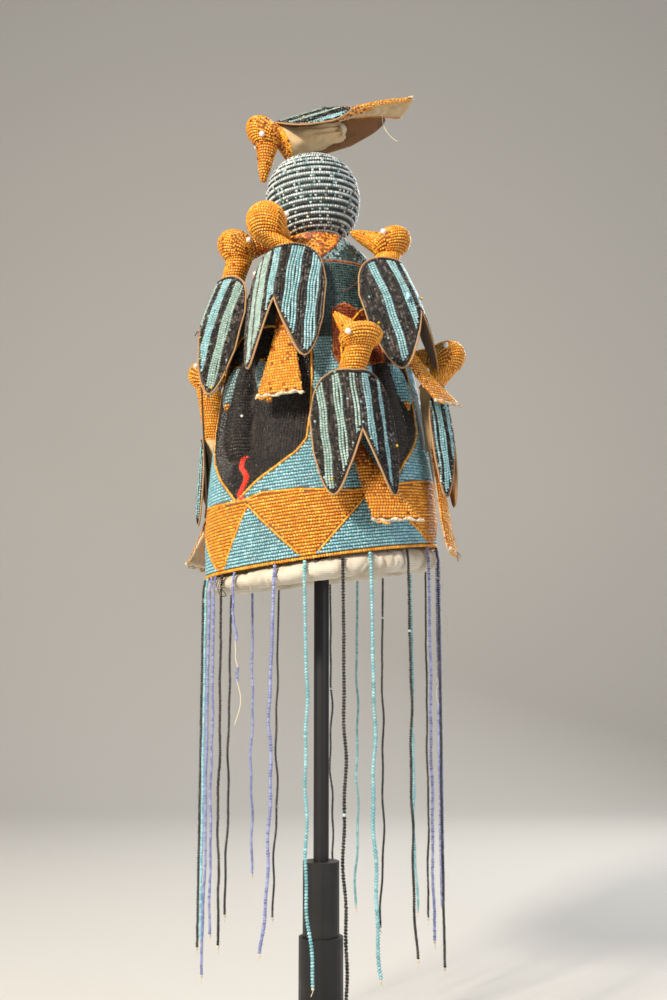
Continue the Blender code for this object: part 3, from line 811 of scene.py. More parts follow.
def ring_bead_parts(rings, pitch, rusty, turns=ALL_ROUND):
    """Rows of orange beads round rings, with this share of rust ones in each. Where rings draw
    together, rows stop short. Turns are from the right side, over the top."""
    surface = ring_points(rings, RING_TURNS, SEAT)
    since = np.full(len(RING_TURNS), pitch)
    wrapped = np.where(RING_TURNS > 1.5 * math.pi, RING_TURNS - 2 * math.pi, RING_TURNS)
    inside = (wrapped >= turns[0]) & (wrapped <= turns[1])
    ahead = np.gradient(ring_points(rings, RING_TURNS), axis=0)
    points, along, normals, finishes = [], [], [], []
    for row, line in enumerate(surface):
        if row:
            since = since + np.linalg.norm(line - surface[row - 1], axis=1)
        if np.linalg.norm(rings.across[row]) < LEAST_RING:
            continue
        places = spaced(line, BEAD_STEP, chance.uniform(*ROW_START), closed=True)
        nearest = np.rint(places).astype(int) % len(RING_TURNS)
        kept = (since[nearest] >= CROWDED * pitch) & inside[nearest]
        tangents = np.roll(line, -1, axis=0) - np.roll(line, 1, axis=0)
        here, tangent, forward = [at_places(one, places[kept], closed=True)
                                  for one in (line, tangents, ahead[row])]
        normal = unit(np.cross(forward, tangent))
        away = here - rings.centres[row]
        normal = normal * np.sign((normal * away).sum(-1, keepdims=True))
        points.append(here)
        along.append(tangent)
        normals.append(normal)
        finishes.append(np.where(chance.random(len(here)) < rusty[row], "rust", "orange"))
        since[since >= CROWDED * pitch] = 0
    return bead_parts(np.concatenate(points), np.concatenate(along), np.concatenate(normals),
                      np.concatenate(finishes))


def closed_loft(rings, finish, shrink):
    """Stuffed cloth through rings, with its ends sewn flat."""
    turns = even_turns(40)
    points = ring_points(rings, turns, shrink)
    return [sheet_part(points, finish, closed=True), cap_part(points[0], finish),
            cap_part(points[-1], finish)]


def round_bead(centre, radius, finish):
    """One larger round bead."""
    turns = even_turns(12)
    heights = np.linspace(-1, 1, 8)
    rings = np.sqrt(np.clip(1 - heights ** 2, 0.05, 1))
    across = np.outer(rings, np.cos(turns))
    along = np.outer(rings, np.sin(turns))
    points = centre + radius * vector(across, along, heights[:, None])
    return closed_parts(points, finish)


# Materials

def linear(hex_colour):
    """An sRGB hex colour as linear RGBA."""
    values = [int(hex_colour[i:i + 2], 16) / 255 for i in (1, 3, 5)]
    return (*[v / 12.92 if v <= 0.04045 else ((v + 0.055) / 1.055) ** 2.4 for v in values], 1.0)


def add_node(tree, kind, inputs=None, output=0, **settings):
    """Add a node and give one of its outputs. An input is a value, or the output that feeds it."""
    made = tree.nodes.new("ShaderNode" + kind)
    for name, value in settings.items():
        setattr(made, name, value)
    for name, value in (inputs or {}).items():
        if isinstance(value, bpy.types.NodeSocket):
            tree.links.new(value, made.inputs[name])
        else:
            made.inputs[name].default_value = value
    return made.outputs[output]


# Sockets of a Mix node that carry its share and its colours
SHARE, FIRST, SECOND, MIXED = 0, 6, 7, 2


def new_material(name, roughness, ior):
    made = bpy.data.materials.new(name)
    made.use_nodes = True
    shader = made.node_tree.nodes["Principled BSDF"]
    shader.inputs["Roughness"].default_value = roughness
    shader.inputs["IOR"].default_value = ior
    return made, made.node_tree, shader


def per_metre(size_mm):
    """The scale of a noise whose blotches are about this many millimetres across."""
    return 1000 / size_mm


GRIME = "#4A4030"
GRIME_MM = 22  # handled beadwork is dull in patches about as wide as a thumb
GRIME_SHARE = 0.35


def seed_bead_glass(name, light, dark, rarity=1.0):
    """Opaque glass, cut from drawn tubes. Each bead has its own small sharp highlight and is a
    little lighter or darker than its neighbours, and thin grime dulls them in patches. The higher
    the rarity, the fewer are light."""
    made, tree, shader = new_material(name, roughness=0.18, ior=1.52)
    place = add_node(tree, "TexCoord", output="Object")
    tone = add_node(tree, "Attribute", output="Fac", attribute_name="tone")
    tone = add_node(tree, "MapRange", {"Value": tone, "From Min": -1, "From Max": 1})
    tone = add_node(tree, "Math", {0: tone, 1: rarity}, operation="POWER")
    colour = add_node(tree, "Mix",
                      {SHARE: tone, FIRST: linear(dark), SECOND: linear(light)},
                      MIXED, data_type="RGBA")
    dull = add_node(tree, "TexNoise",
                    {"Vector": place, "Scale": per_metre(GRIME_MM), "Detail": 2.0})
    dull = add_node(tree, "MapRange",
                    {"Value": dull, "From Min": 0.5, "From Max": 0.8, "To Max": GRIME_SHARE})
    colour = add_node(tree, "Mix", {SHARE: dull, FIRST: colour, SECOND: linear(GRIME)},
                      MIXED, data_type="RGBA")
    tree.links.new(colour, shader.inputs["Base Color"])
    return made


YARN_MM = 3.0  # cotton yarn is thick and thin by turns over about this length


def woven_cloth(name, light, dark, thread_mm, stain=None, stain_mm=30, stain_share=0.5):
    """Plain-weave cotton: matt, with raised threads both ways and uneven yarn, and stained where
    hands and damp have reached it. The weave's hollows take the dark colour, as painted shade.
    Threads are drawn about three times as coarse as real ones, so that they show."""
    made, tree, shader = new_material(name, roughness=0.88, ior=1.46)
    shader.inputs["Sheen Weight"].default_value = 0.25
    shader.inputs["Sheen Roughness"].default_value = 0.5
    place = add_node(tree, "TexCoord", output="Object")
    threads = {"Vector": place, "Scale": per_metre(thread_mm) / (2 * math.pi), "Distortion": 1.2,
               "Detail": 1.0}
    along, across, through = [
        add_node(tree, "TexWave", threads, "Fac", bands_direction=axis)
        for axis in ("X", "Y", "Z")
    ]
    level = add_node(tree, "Math", {0: along, 1: across}, operation="MAXIMUM")
    weave = add_node(tree, "Math", {0: level, 1: through}, operation="MULTIPLY")
    yarn = add_node(tree, "TexNoise", {"Vector": place, "Scale": per_metre(YARN_MM), "Detail": 4.0})
    height = add_node(tree, "Math", {0: weave, 1: yarn}, operation="MULTIPLY")
    # the low parts of the weave take the dark colour: partly uneven yarn, partly painted shade in
    # its hollows
    raised = add_node(tree, "MapRange", {"Value": height, "From Min": -0.4, "From Max": 0.5})
    colour = add_node(tree, "Mix",
                      {SHARE: raised, FIRST: linear(dark), SECOND: linear(light)},
                      MIXED, data_type="RGBA")
    if stain:
        stained = add_node(tree, "TexNoise",
                           {"Vector": place, "Scale": per_metre(stain_mm), "Detail": 3.0})
        stained = add_node(tree, "MapRange",
                           {"Value": stained, "From Min": 0.48, "From Max": 0.72,
                            "To Max": stain_share})
        colour = add_node(tree, "Mix",
                          {SHARE: stained, FIRST: colour, SECOND: linear(stain)},
                          MIXED, data_type="RGBA")
    tree.links.new(colour, shader.inputs["Base Color"])
    bump = add_node(tree, "Bump", {"Height": height, "Strength": 0.5, "Distance": thread_mm / 3000})
    tree.links.new(bump, shader.inputs["Normal"])
    return made


PEEL_MM = 1.5  # powder paint's orange peel
RUBBED_MM = 35  # hands rub a post in patches
DUST_MM = 9  # dust lies in loose flocks


def painted_steel(name):
    """Mild steel tube and plate with satin black powder paint: it has a soft highlight broken by
    fine orange peel, patches rubbed glossier, and pale dust on its upper faces."""
    made, tree, shader = new_material(name, roughness=0.42, ior=1.5)
    place = add_node(tree, "TexCoord", output="Object")
    peel = add_node(tree, "TexNoise", {"Vector": place, "Scale": per_metre(PEEL_MM), "Detail": 2.0})
    rubbed = add_node(tree, "TexNoise",
                      {"Vector": place, "Scale": per_metre(RUBBED_MM), "Detail": 4.0})
    rubbed = add_node(tree, "MapRange", {"Value": rubbed, "From Min": 0.52, "From Max": 0.75})
    facing = add_node(tree, "SeparateXYZ",
                      {"Vector": add_node(tree, "NewGeometry", output="Normal")}, "Z")
    facing = add_node(tree, "MapRange", {"Value": facing, "From Min": 0.6, "From Max": 1.0})
    flocks = add_node(tree, "TexNoise",
                      {"Vector": place, "Scale": per_metre(DUST_MM), "Detail": 5.0})
    flocks = add_node(tree, "MapRange", {"Value": flocks, "From Min": 0.35, "From Max": 0.8})
    dust = add_node(tree, "Math", {0: facing, 1: flocks}, operation="MULTIPLY")
    colour = add_node(tree, "Mix",
                      {SHARE: rubbed, FIRST: linear("#161617"), SECOND: linear("#232324")},
                      MIXED, data_type="RGBA")
    colour = add_node(tree, "Mix",
                      {SHARE: dust, FIRST: colour, SECOND: linear("#4B4945")},
                      MIXED, data_type="RGBA")
    tree.links.new(colour, shader.inputs["Base Color"])
    rough = add_node(tree, "MapRange", {"Value": rubbed, "To Min": 0.46, "To Max": 0.3})
    tree.links.new(rough, shader.inputs["Roughness"])
    bump = add_node(tree, "Bump", {"Height": peel, "Strength": 0.25, "Distance": 0.0003})
    tree.links.new(bump, shader.inputs["Normal"])
    return made


def matt_paper(name, colour):
    """A studio's roll of paper: flat, without gloss, so that it only takes light and shadow."""
    made, _, shader = new_material(name, roughness=0.9, ior=1.5)
    shader.inputs["Base Color"].default_value = linear(colour)
    return made


# Opaque seed bead colours: a light and a dark bead of each lot
GLASS = {
    "orange": ("#FFC24A", "#EF931C"),
    "rust": ("#CE6C20", "#74330F"),
    "light_blue": ("#AEDFEA", "#78B9CA"),
    # teal beads made darker: partly their own colour, partly painted shade on the shell's upper
    # part
    "teal": ("#335552", "#122524"),
    "pale_blue": ("#B3DADD", "#84B6BE"),
    "pale_green": ("#B4CCC4", "#8CABA3"),
    "grey_blue": ("#A4BDBE", "#7A989A"),
    "black": ("#3A3532", "#050505"),
    # greyish black beads that are painted glints on the capes' black rows
    "worn_black": ("#756962", "#332D2A"),
    "white": ("#E4EBEA", "#BFCBCC"),
    "pearl": ("#F4F1EA", "#E2DED6"),
    "periwinkle": ("#A6AEDC", "#747DB6"),
    "turquoise": ("#A4D6DC", "#6CAFBA"),
    "red": ("#F0472C", "#CC3420"),
    "dark_red": ("#8E2414", "#5E140C"),
    "yellow": ("#EBCB3A", "#C7A325"),
    "amber": ("#B3965C", "#86693A"),
}
BLACK_RARITY = 2.2  # few black beads are greyish
# Cottons: name, the raised threads' colour and the hollows' darker colour (painted shade), thread
# in mm, and a stain's colour, size in mm and share
CLOTH = {
    # the backings are dark so that the gaps between beads look dark: partly the cloth's own colour,
    # partly painted shade between the beads
    "backing": ("backing_canvas", "#5C6E70", "#344446", 1.4),
    "dark_backing": ("dark_backing_canvas", "#332C25", "#181410", 1.4),
    "head_backing": ("orange_backing_canvas", "#9C5A1A", "#63340E", 1.4),
    "lining": ("lining_canvas", "#9A8560", "#6E5A3B", 1.5, "#4D3C26", 40),
    "cotton": ("roll_cotton", "#DDD5C5", "#BFB39E", 0.9, "#94805F", 22, 0.6),
    "beige": ("body_cotton", "#D9BF92", "#B8976A", 0.8, "#7C5E37", 18, 0.5),
    "brown": ("wing_lining_cotton", "#8A6138", "#57391D", 0.9, "#38230F", 15),
    "cream": ("tail_cotton", "#E9DDC6", "#C9B896", 0.8, "#8F7A55", 12, 0.4),
    "cord": ("binding_cord_cotton", "#C49A68", "#7E5935", 0.8),
    "thread": ("sewing_thread_cotton", "#E3D8C0", "#BBAB8C", 0.7),
    "dark_thread": ("dark_thread_cotton", "#4E3A2C", "#2C1F17", 0.7),
    "red_thread": ("red_thread_cotton", "#8E4A38", "#5E2C20", 0.7),
}


def make_materials():
    """Every finish, under the name that the parts have for it."""
    for finish, (light, dark) in GLASS.items():
        rarity = BLACK_RARITY if finish == "black" else 1.0
        MATERIALS[finish] = seed_bead_glass(f"{finish}_glass_beads", light, dark, rarity)
    for finish, row in CLOTH.items():
        MATERIALS[finish] = woven_cloth(*row)
    MATERIALS["steel"] = painted_steel("satin_black_steel")
    MATERIALS["sweep"] = matt_paper("studio_sweep_paper", "#D8D6D1")


# Shell

# Shares of the beads above the rust row that are grey blue, lower down and close to the collar
GREY_LOW = 0.15
GREY_HIGH = 0.75
NEAR_COLLAR = 0.012
# Height above the collar's lower edge, share of its beads that are orange rather than rust
# rust grows towards the ball: partly the collar's own rust beads, partly painted shade under the
# ball
COLLAR_SHADE_FADE = ((0.0, 1.0), (0.012, 0.55), (0.03, 0.1))
# How much of a pad, and a little more, has its own rows: in its half widths, from and to in lengths
PAD_ACROSS = 1.05
PAD_FROM = -0.04
PAD_TO = 1.02
EYE_ENDS = (0.10, 0.95)  # shares of an eye's length below and above which it is orange
MOUTH_PITCH = 0.0021  # between the mouth's three strings
LEAST_ZIGZAG = 0.0015  # height on the shell below which the zigzag has no laid string
ROW_JITTER = 0.00012  # how unevenly beads sit across their row
LINE_ROOM = 0.0018  # distance from a laid bead within which a row has none
# Where no one sees the shell. Under a cape: from and to below the shoulder, and to each side as a
# share of the cape's half width. Under a body: from below the shoulder, and to each side as a
# share of NECK_RADIUS.
UNDER_CAPE_FROM = 0.024
UNDER_CAPE_TO = 0.42 * CAPE_LENGTH
UNDER_CAPE_SIDE = 0.5
UNDER_BODY_FROM = 0.004
UNDER_BODY_SIDE = 0.7
SAME_SIDE = -0.03  # farther in than this, a place is on the crown's other side


def face_at(azimuth, height):
    """The face that each place is on, or -1."""
    on_height = height - edge_height(azimuth)
    number = np.full(np.shape(azimuth), -1)
    left = straight(FACE_OUTLINE, on_height, 1)
    right = straight(FACE_OUTLINE, on_height, 2)
    within = (on_height > FACE_OUTLINE[0][0]) & (on_height < FACE_OUTLINE[-1][0])
    for index, (degrees, spread) in enumerate(zip(FACE_AZIMUTHS, FACE_SPREAD)):
        aside = turn_from(azimuth, math.radians(degrees)) * shell_radius(azimuth, height)
        inside = within & (aside > -left * spread) & (aside < right * spread)
        number = np.where(inside & (number < 0), index, number)
    return number


def degrees_from(table, azimuth):
    """Azimuths in degrees, within the turn that a table covers."""
    first = table[0][0]
    return (np.degrees(azimuth) - first) % 360 + first


def zigzag_height(azimuth):
    rows = [(degrees, height + ZIGZAG_TIP if height else height) for degrees, height in ZIGZAG]
    return straight(rows, degrees_from(ZIGZAG, azimuth)) - ZIGZAG_TIP


def shell_finish(azimuth, height):
    """Each bead's colour, and whether its row runs up and down, as beside a nose."""
    foot = edge_height(azimuth)
    on_height = height - foot
    share = on_height / (TOP_HEIGHT - foot)
    odd = chance.random(np.shape(azimuth))
    finish = np.full(np.shape(azimuth), "light_blue", dtype=FINISH)
    band = straight(BAND_TOP, degrees_from(BAND_TOP, azimuth))
    finish[(on_height > zigzag_height(azimuth)) & (on_height < band)] = "orange"
    # teal above this share, darkened as painted shade
    finish[share > SHADED_TEAL_FROM] = "teal"
    collar = straight(COLLAR, degrees_from(COLLAR, azimuth))
    finish[(share > RUST_ROW) & (odd < GREY_LOW)] = "grey_blue"
    near = on_height > collar - NEAR_COLLAR
    finish[(share > RUST_ROW) & near & (odd < GREY_HIGH)] = "grey_blue"
    finish[on_height > collar] = "rust"
    # more rust towards the ball, partly as painted shade
    fade = read(COLLAR_SHADE_FADE, np.clip(on_height - collar, 0, COLLAR_SHADE_FADE[-1][0]))
    finish[(on_height > collar) & (odd < fade)] = "orange"
    on_face = face_at(azimuth, height) >= 0
    finish[on_face] = "black"
    patch = inside_patch(azimuth, height)
    finish[patch] = "dark_red"
    upright = on_face & ~patch
    for number, pad in enumerate(PADS):
        share, across = on_pad(pad, azimuth, height)
        inside = (np.abs(across) < PAD_ACROSS) & (share > PAD_FROM) & (share < PAD_TO)
        upright = upright & ~inside
        if pad.rows is EYE_ROWS:
            inside = inside & on_face
            finish[inside] = EYE_COLOURS[number // 3]
            finish[inside & ((share < EYE_ENDS[0]) | (share > EYE_ENDS[1]))] = "orange"
    return finish, upright


def inside_patch(azimuth, height):
    """Whether a place lies within the dark red patch."""
    across = np.degrees(azimuth)
    up = height - edge_height(azimuth)
    inside = np.zeros(np.shape(azimuth), bool)
    for (first, low), (second, high) in zip(RED_PATCH, RED_PATCH[1:]):
        if low == high:
            continue
        crossing = first + (up - low) * (second - first) / (high - low)
        inside ^= ((low > up) != (high > up)) & (across < crossing)
    return inside


def line_points(azimuths, heights):
    """A line on the shell through places given in radians and heights on the shell."""
    azimuths = np.asarray(azimuths, float)
    heights = np.asarray(heights, float) + edge_height(azimuths)
    index = np.linspace(0, len(azimuths) - 1, 40 * len(azimuths))
    azimuth = np.interp(index, np.arange(len(azimuths)), azimuths)
    height = np.interp(index, np.arange(len(azimuths)), heights)
    return azimuth, height


def face_line(degrees, spread, side):
    """One side of a face's outline, from its foot upwards."""
    heights = np.array([row[0] for row in FACE_OUTLINE])
    aside = np.array([row[2] if side > 0 else row[1] for row in FACE_OUTLINE]) * side * spread
    centre = math.radians(degrees)
    radius = shell_radius(centre, heights + edge_height(centre))
    return centre + aside / radius, heights


def mouth_lines(centre, shift):
    """Three strings of red beads side by side, in an S under the nose."""
    heights = np.linspace(MOUTH_LINE[0][0], MOUTH_LINE[-1][0], 40)
    aside = read(MOUTH_LINE, heights) + shift
    azimuth = centre + aside / RIM_RADIUS
    return [("red", azimuth + beside / RIM_RADIUS, heights)
            for beside in (-MOUTH_PITCH, 0, MOUTH_PITCH)]


def couched_lines():
    """Strings of beads laid on the borders, as a finish and places on the shell."""
    lines = []
    azimuths = np.radians(np.arange(ZIGZAG[0][0], ZIGZAG[-1][0] + 1, 1.0))
    zigzag = np.clip(zigzag_height(azimuths), 0, None)
    lines.append(("orange", azimuths, np.where(zigzag > LEAST_ZIGZAG, zigzag, np.nan)))
    azimuths = np.radians(np.arange(BAND_TOP[0][0], BAND_TOP[0][0] + 361, 2.0))
    lines.append(("orange", azimuths, straight(BAND_TOP, degrees_from(BAND_TOP, azimuths))))
    for degrees, spread in zip(FACE_AZIMUTHS, FACE_SPREAD):
        for side in (-1, 1):
            azimuths, heights = face_line(degrees, spread, side)
            lines.append(("orange", azimuths, heights))
    collar = np.radians([row[0] for row in COLLAR])
    lines.append(("rust", collar, [row[1] for row in COLLAR]))
    azimuths = np.radians(np.arange(-180, 181, 3.0))
    lines.append(("rust", azimuths, RUST_ROW * (TOP_HEIGHT - edge_height(azimuths))))
    patch = np.radians([row[0] for row in RED_PATCH])
    lines.append(("rust", patch, [row[1] for row in RED_PATCH]))
    for degrees, shift in zip(FACE_AZIMUTHS, MOUTH_SHIFTS):
        lines += mouth_lines(math.radians(degrees), shift)
    return lines


def laid_lines():
    """Beads of the couched lines: their azimuths, heights, directions and finishes."""
    found = []
    for finish, azimuths, heights in couched_lines():
        azimuths = np.asarray(azimuths, float)
        heights = np.asarray(heights, float)
        runs = np.split(np.arange(len(heights)), np.flatnonzero(np.isnan(heights)))
        for run in runs:
            run = run[~np.isnan(heights[run])]
            if len(run) < 2:
                continue
            azimuth, height = line_points(azimuths[run], heights[run])
            points = skin(azimuth, height, LINE_LIFT - SEAT)
            places = spaced(points, LINE_STEP)
            index = np.arange(len(points))
            along = at_places(np.gradient(points, axis=0), places)
            found.append((np.interp(places, index, azimuth), np.interp(places, index, height),
                          along, np.full(len(places), finish)))
    return [np.concatenate(arrays) for arrays in zip(*found)]


def slope_lengths(radii, shares, height):
    """How far along a profile each of its height shares is."""
    slope = np.hypot(np.diff(radii), np.diff(shares) * height)
    return np.concatenate([[0], np.cumsum(slope)])


def row_shares():
    """Height shares of the shell's rows, a row's pitch apart down its slope."""
    shares = np.linspace(0, 1, 400)
    lengths = slope_lengths(RIM_RADIUS * read(SHELL_PROFILE, shares), shares, CROWN_HEIGHT)
    places = np.arange(0.5, lengths[-1] / ROW_PITCH) * ROW_PITCH
    return np.interp(places, lengths, shares)


def level_rows():
    """Rows round the shell."""
    azimuths = np.linspace(-math.pi, math.pi, 1440)
    for share in row_shares():
        foot = edge_height(azimuths)
        heights = foot + share * (TOP_HEIGHT - foot)
        yield azimuths, heights


def upright_rows():
    """Rows beside the noses, parallel to them."""
    for degrees in FACE_AZIMUTHS:
        centre = math.radians(degrees)
        on_height = np.linspace(FACE_OUTLINE[0][0], FACE_OUTLINE[-1][0], 260)
        reach = max(max(row[1:]) for row in FACE_OUTLINE)
        for aside in np.arange(-reach, reach, ROW_PITCH):
            heights = on_height + edge_height(centre)
            azimuths = centre + aside / shell_radius(centre, heights)
            heights = on_height + edge_height(azimuths)
            yield azimuths, heights


def under_birds(points, perches):
    """Which points of the shell no one can see, under a cape or a body."""
    hidden = np.zeros(len(points), bool)
    for perch in perches:
        away = points - perch.foot(0.0)
        along = away @ perch.up
        aside = np.abs(away @ perch.side)
        facing = away @ perch.out > SAME_SIDE
        half = UNDER_CAPE_SIDE * CAPE_HALF_WIDTH * perch.bird.width
        cape = (along < -UNDER_CAPE_FROM) & (along > -UNDER_CAPE_TO) & (aside < half)
        half = UNDER_BODY_SIDE * NECK_RADIUS
        body = (along < -UNDER_BODY_FROM) & (along > -TORSO_LENGTH) & (aside < half)
        hidden |= facing & (cape | body)
    return hidden


def shell_beads(perches):
    """The shell's beads: their azimuths, heights, directions, finishes and lifts."""
    line_azimuths, line_heights, line_along, line_finishes = laid_lines()
    line_places = skin(line_azimuths, line_heights)
    tree = kdtree.KDTree(len(line_places))
    for index, place in enumerate(line_places):
        tree.insert(place, index)
    tree.balance()
    found = [(line_azimuths, line_heights, line_along, line_finishes,
              np.full(len(line_azimuths), LINE_LIFT))]
    for rows, wants_upright in ((level_rows(), False), (upright_rows(), True)):
        for azimuths, heights in rows:
            line = skin(azimuths, heights, -SEAT)
            places = spaced(line, BEAD_STEP, chance.uniform(*ROW_START))
            index = np.arange(len(line))
            azimuth = np.interp(places, index, azimuths)
            height = np.interp(places, index, heights)
            height = height + chance.normal(0, ROW_JITTER, len(places))
            finish, upright = shell_finish(azimuth, height)
            surface = skin(azimuth, height)
            free = np.array([tree.find(point)[2] > LINE_ROOM for point in surface], bool)
            kept = (upright == wants_upright) & free & ~under_birds(surface, perches)
            along = at_places(np.gradient(line, axis=0), places)
            found.append((azimuth[kept], height[kept], along[kept], finish[kept],
                          np.zeros(kept.sum())))
    return [np.concatenate(arrays) for arrays in zip(*found)]


# cloth under each bead colour, darkened partly as painted shade in the gaps
BACKINGS = {"orange": "head_backing", "rust": "head_backing", "dark_red": "head_backing",
            "black": "dark_backing"}


def outside_cloth(columns, heights, points):
    """The shell's outer cloth, darker under each colour of beads, partly as painted shade in the
    gaps.
    """
    whole = sheet_part(points, "backing", closed=True)
    step = columns[1] - columns[0]
    middles = (heights[:-1] + heights[1:]) / 2
    finish, _ = shell_finish(np.broadcast_to(columns + step / 2, middles.shape), middles)
    under = np.array([BACKINGS.get(name, "backing") for name in finish.ravel()])
    return [Part(whole.points, whole.faces[under == name], name, whole.tones)
            for name in np.unique(under)]


def make_shell(perches):
    """The stiffened cloth cone with its padded faces, and its rows of beads, face by face."""
    columns = np.linspace(-math.pi, math.pi, 180, endpoint=False)
    shares = np.linspace(0, 1, 76)[:, None]
    foot = edge_height(columns)
    heights = foot + shares * (TOP_HEIGHT - foot)
    outside = skin(columns[None], heights, -SEAT)
    shares = np.linspace(0, 1, 16)[:, None]
    inner_heights = foot + shares * (TOP_HEIGHT - SHELL_WALL - foot)
    reach = shell_radius(columns[None], inner_heights) - SHELL_WALL
    inside = middle(inner_heights) + outward(columns)[None] * reach[..., None]
    rim = np.stack([outside[0], inside[0]])
    cloth = make_piece("crown_cloth", outside_cloth(columns, heights, outside) + [
        cap_part(outside[-1], "head_backing"),
        sheet_part(inside, "lining", closed=True),
        cap_part(inside[-1], "lining"),
        sheet_part(rim, "lining", closed=True),
    ], slot="beaded_shell", outside_up=True)
    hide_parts("crown_shell")
    azimuth, height, along, finish, lift = shell_beads(perches)
    points = skin(azimuth, height, -SEAT + lift)
    normals = skin_normal(azimuth, height)
    azimuth_there = math.radians(ODD_FACE_BEAD[0])
    there = skin(azimuth_there, ODD_FACE_BEAD[1] + edge_height(azimuth_there), LINE_LIFT)
    make_piece("odd_face_bead", round_bead(there, BEAD_RADIUS, "pearl"), slot="beaded_shell")
    centres = np.radians(FACE_AZIMUTHS)
    nearest = np.argmin(np.abs(turn_from(azimuth[:, None], centres[None])), axis=1)
    for number in range(len(FACE_AZIMUTHS)):
        chosen = nearest == number
        parts = bead_parts(points[chosen], along[chosen], normals[chosen], finish[chosen])
        make_piece(f"crown_beadwork_{number + 1}", parts, slot="beaded_shell")


EDGE_STEP = 0.0023  # between the edge's beads


def make_edge():
    """The string of orange beads along the lower edge."""
    azimuths = np.linspace(-math.pi, math.pi, 1000, endpoint=False)
    heights = edge_height(azimuths) - GAP - EDGE_THICKNESS / 2
    ring = middle(heights) + outward(azimuths) * (RIM_RADIUS - EDGE_THICKNESS / 2)
    places = spaced(ring, EDGE_STEP, closed=True)
    ahead = np.roll(ring, -1, axis=0) - ring
    points, along, normals = [at_places(one, places, closed=True)
                              for one in (ring, ahead, outward(azimuths))]
    parts = bead_parts(points, along, normals, "orange", EDGE_THICKNESS / 2, EDGE_STEP, strung=True)
    edge = make_piece("edge_beads", parts, slot="orange_beadwork")
    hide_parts("edge_binding")


# How flat the roll's padding has been pressed: azimuth in degrees, share of its full height
ROLL_FLATNESS = (
    (-180, 0.74), (-130, 0.62), (-75, 0.68), (-20, 0.78), (35, 0.90), (75, 1.0), (130, 0.86),
    (180, 0.74),
)
STITCH_DEPTH = 0.0012  # of the dents where the strings pull the roll in
STITCH_HALF_WIDTH = 0.0022
STITCH_DENT = (0.7, 0.3)  # shares of its depth that go right round the roll, and outside only
CREASES = 230
CREASE_DEPTH = 0.0017
CREASE_HALF_WIDTHS = (0.0007, 0.0026)
CREASE_LEAN = 0.8  # how far they turn from straight across the roll, as a slope
CREASE_REACH = 0.9  # how far round the roll they go, in radians to each side
CREASE_STRENGTHS = (0.4, 1.0)
DEEPEST_CREASE = 1.5  # where several cross, in single ones


def make_roll():
    """The padded cotton roll, gathered by its stitches, with creases between them."""
    turns_round = np.linspace(-math.pi, math.pi, 420, endpoint=False)
    turns = even_turns(22)
    flat = read(ROLL_FLATNESS, np.degrees(turns_round))[:, None]
    radius = ROLL_THICKNESS / 2
    below = 2 * GAP + EDGE_THICKNESS + radius * flat[:, 0]
    centre_radius = RIM_RADIUS - ROLL_INSET - radius
    centres = middle(edge_height(turns_round) - below) + outward(turns_round) * centre_radius
    squeeze = np.zeros((len(turns_round), len(turns)))
    dent = STITCH_DENT[0] + STITCH_DENT[1] * np.cos(turns)
    for strand in VEIL:
        away = turn_from(turns_round, math.radians(strand.azimuth)) * RIM_RADIUS
        squeeze += np.exp(-(away / STITCH_HALF_WIDTH) ** 2)[:, None] * dent[None]
    creases = np.zeros_like(squeeze)
    for _ in range(CREASES):
        place = chance.uniform(-math.pi, math.pi)
        lean = chance.normal(0, CREASE_LEAN)
        width = chance.uniform(*CREASE_HALF_WIDTHS)
        middle_turn = chance.uniform(0, 2 * math.pi)
        away = turn_from(turns_round[:, None], place) * RIM_RADIUS
        slant = turn_from(turns[None], middle_turn)
        creases += (np.exp(-((away - lean * slant * radius) / width) ** 2)
                    * np.exp(-(slant / CREASE_REACH) ** 2) * chance.uniform(*CREASE_STRENGTHS))
    size = (radius - STITCH_DEPTH * np.clip(squeeze, 0, 1)
            - CREASE_DEPTH * np.clip(creases, 0, DEEPEST_CREASE))
    points = (centres[:, None] + outward(turns_round)[:, None] * (np.cos(turns) * size)[..., None]
              + vector(0, 0, 1) * (np.sin(turns) * size * flat)[..., None])
    closed = np.concatenate([points, points[:1]])
    roll = make_piece("roll_cloth", [sheet_part(closed, "cotton", closed=True)],
                      slot="cotton_roll", outside_up=True)
    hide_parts("rim_roll")


# Ball

BALL_ROW_PITCH = 0.00315
BALL_CLOTH_TO = 0.995  # shares of its height, short of the closing point
BALL_ROWS_TO = 0.99
BALL_BEADED_FROM = 0.003  # radius of the ball below which it has no rows
BESIDE_ROW = 0.004  # share of its height up and down, where its slope is measured
WHITE_SIZE = 1.25  # its white beads are this much thicker than its black ones
# Shares of odd beads in its rows
AMBER_IN_WHITE = 0.02
GREY_IN_WHITE = 0.07
GREY_IN_BLACK = 0.10
WHITE_IN_BLACK = 0.12


def ball_rings(shares):
    axis = ball_axis()
    across = vector(math.cos(BALL_TILT), 0.0, math.sin(BALL_TILT))
    upright = np.cross(axis, across)
    radii = read(BALL_PROFILE, shares) * BALL_RADIUS
    centres = ball_seat() + axis * (shares * BALL_HEIGHT)[:, None]
    return Rings(centres, across * radii[:, None], upright * radii[:, None])


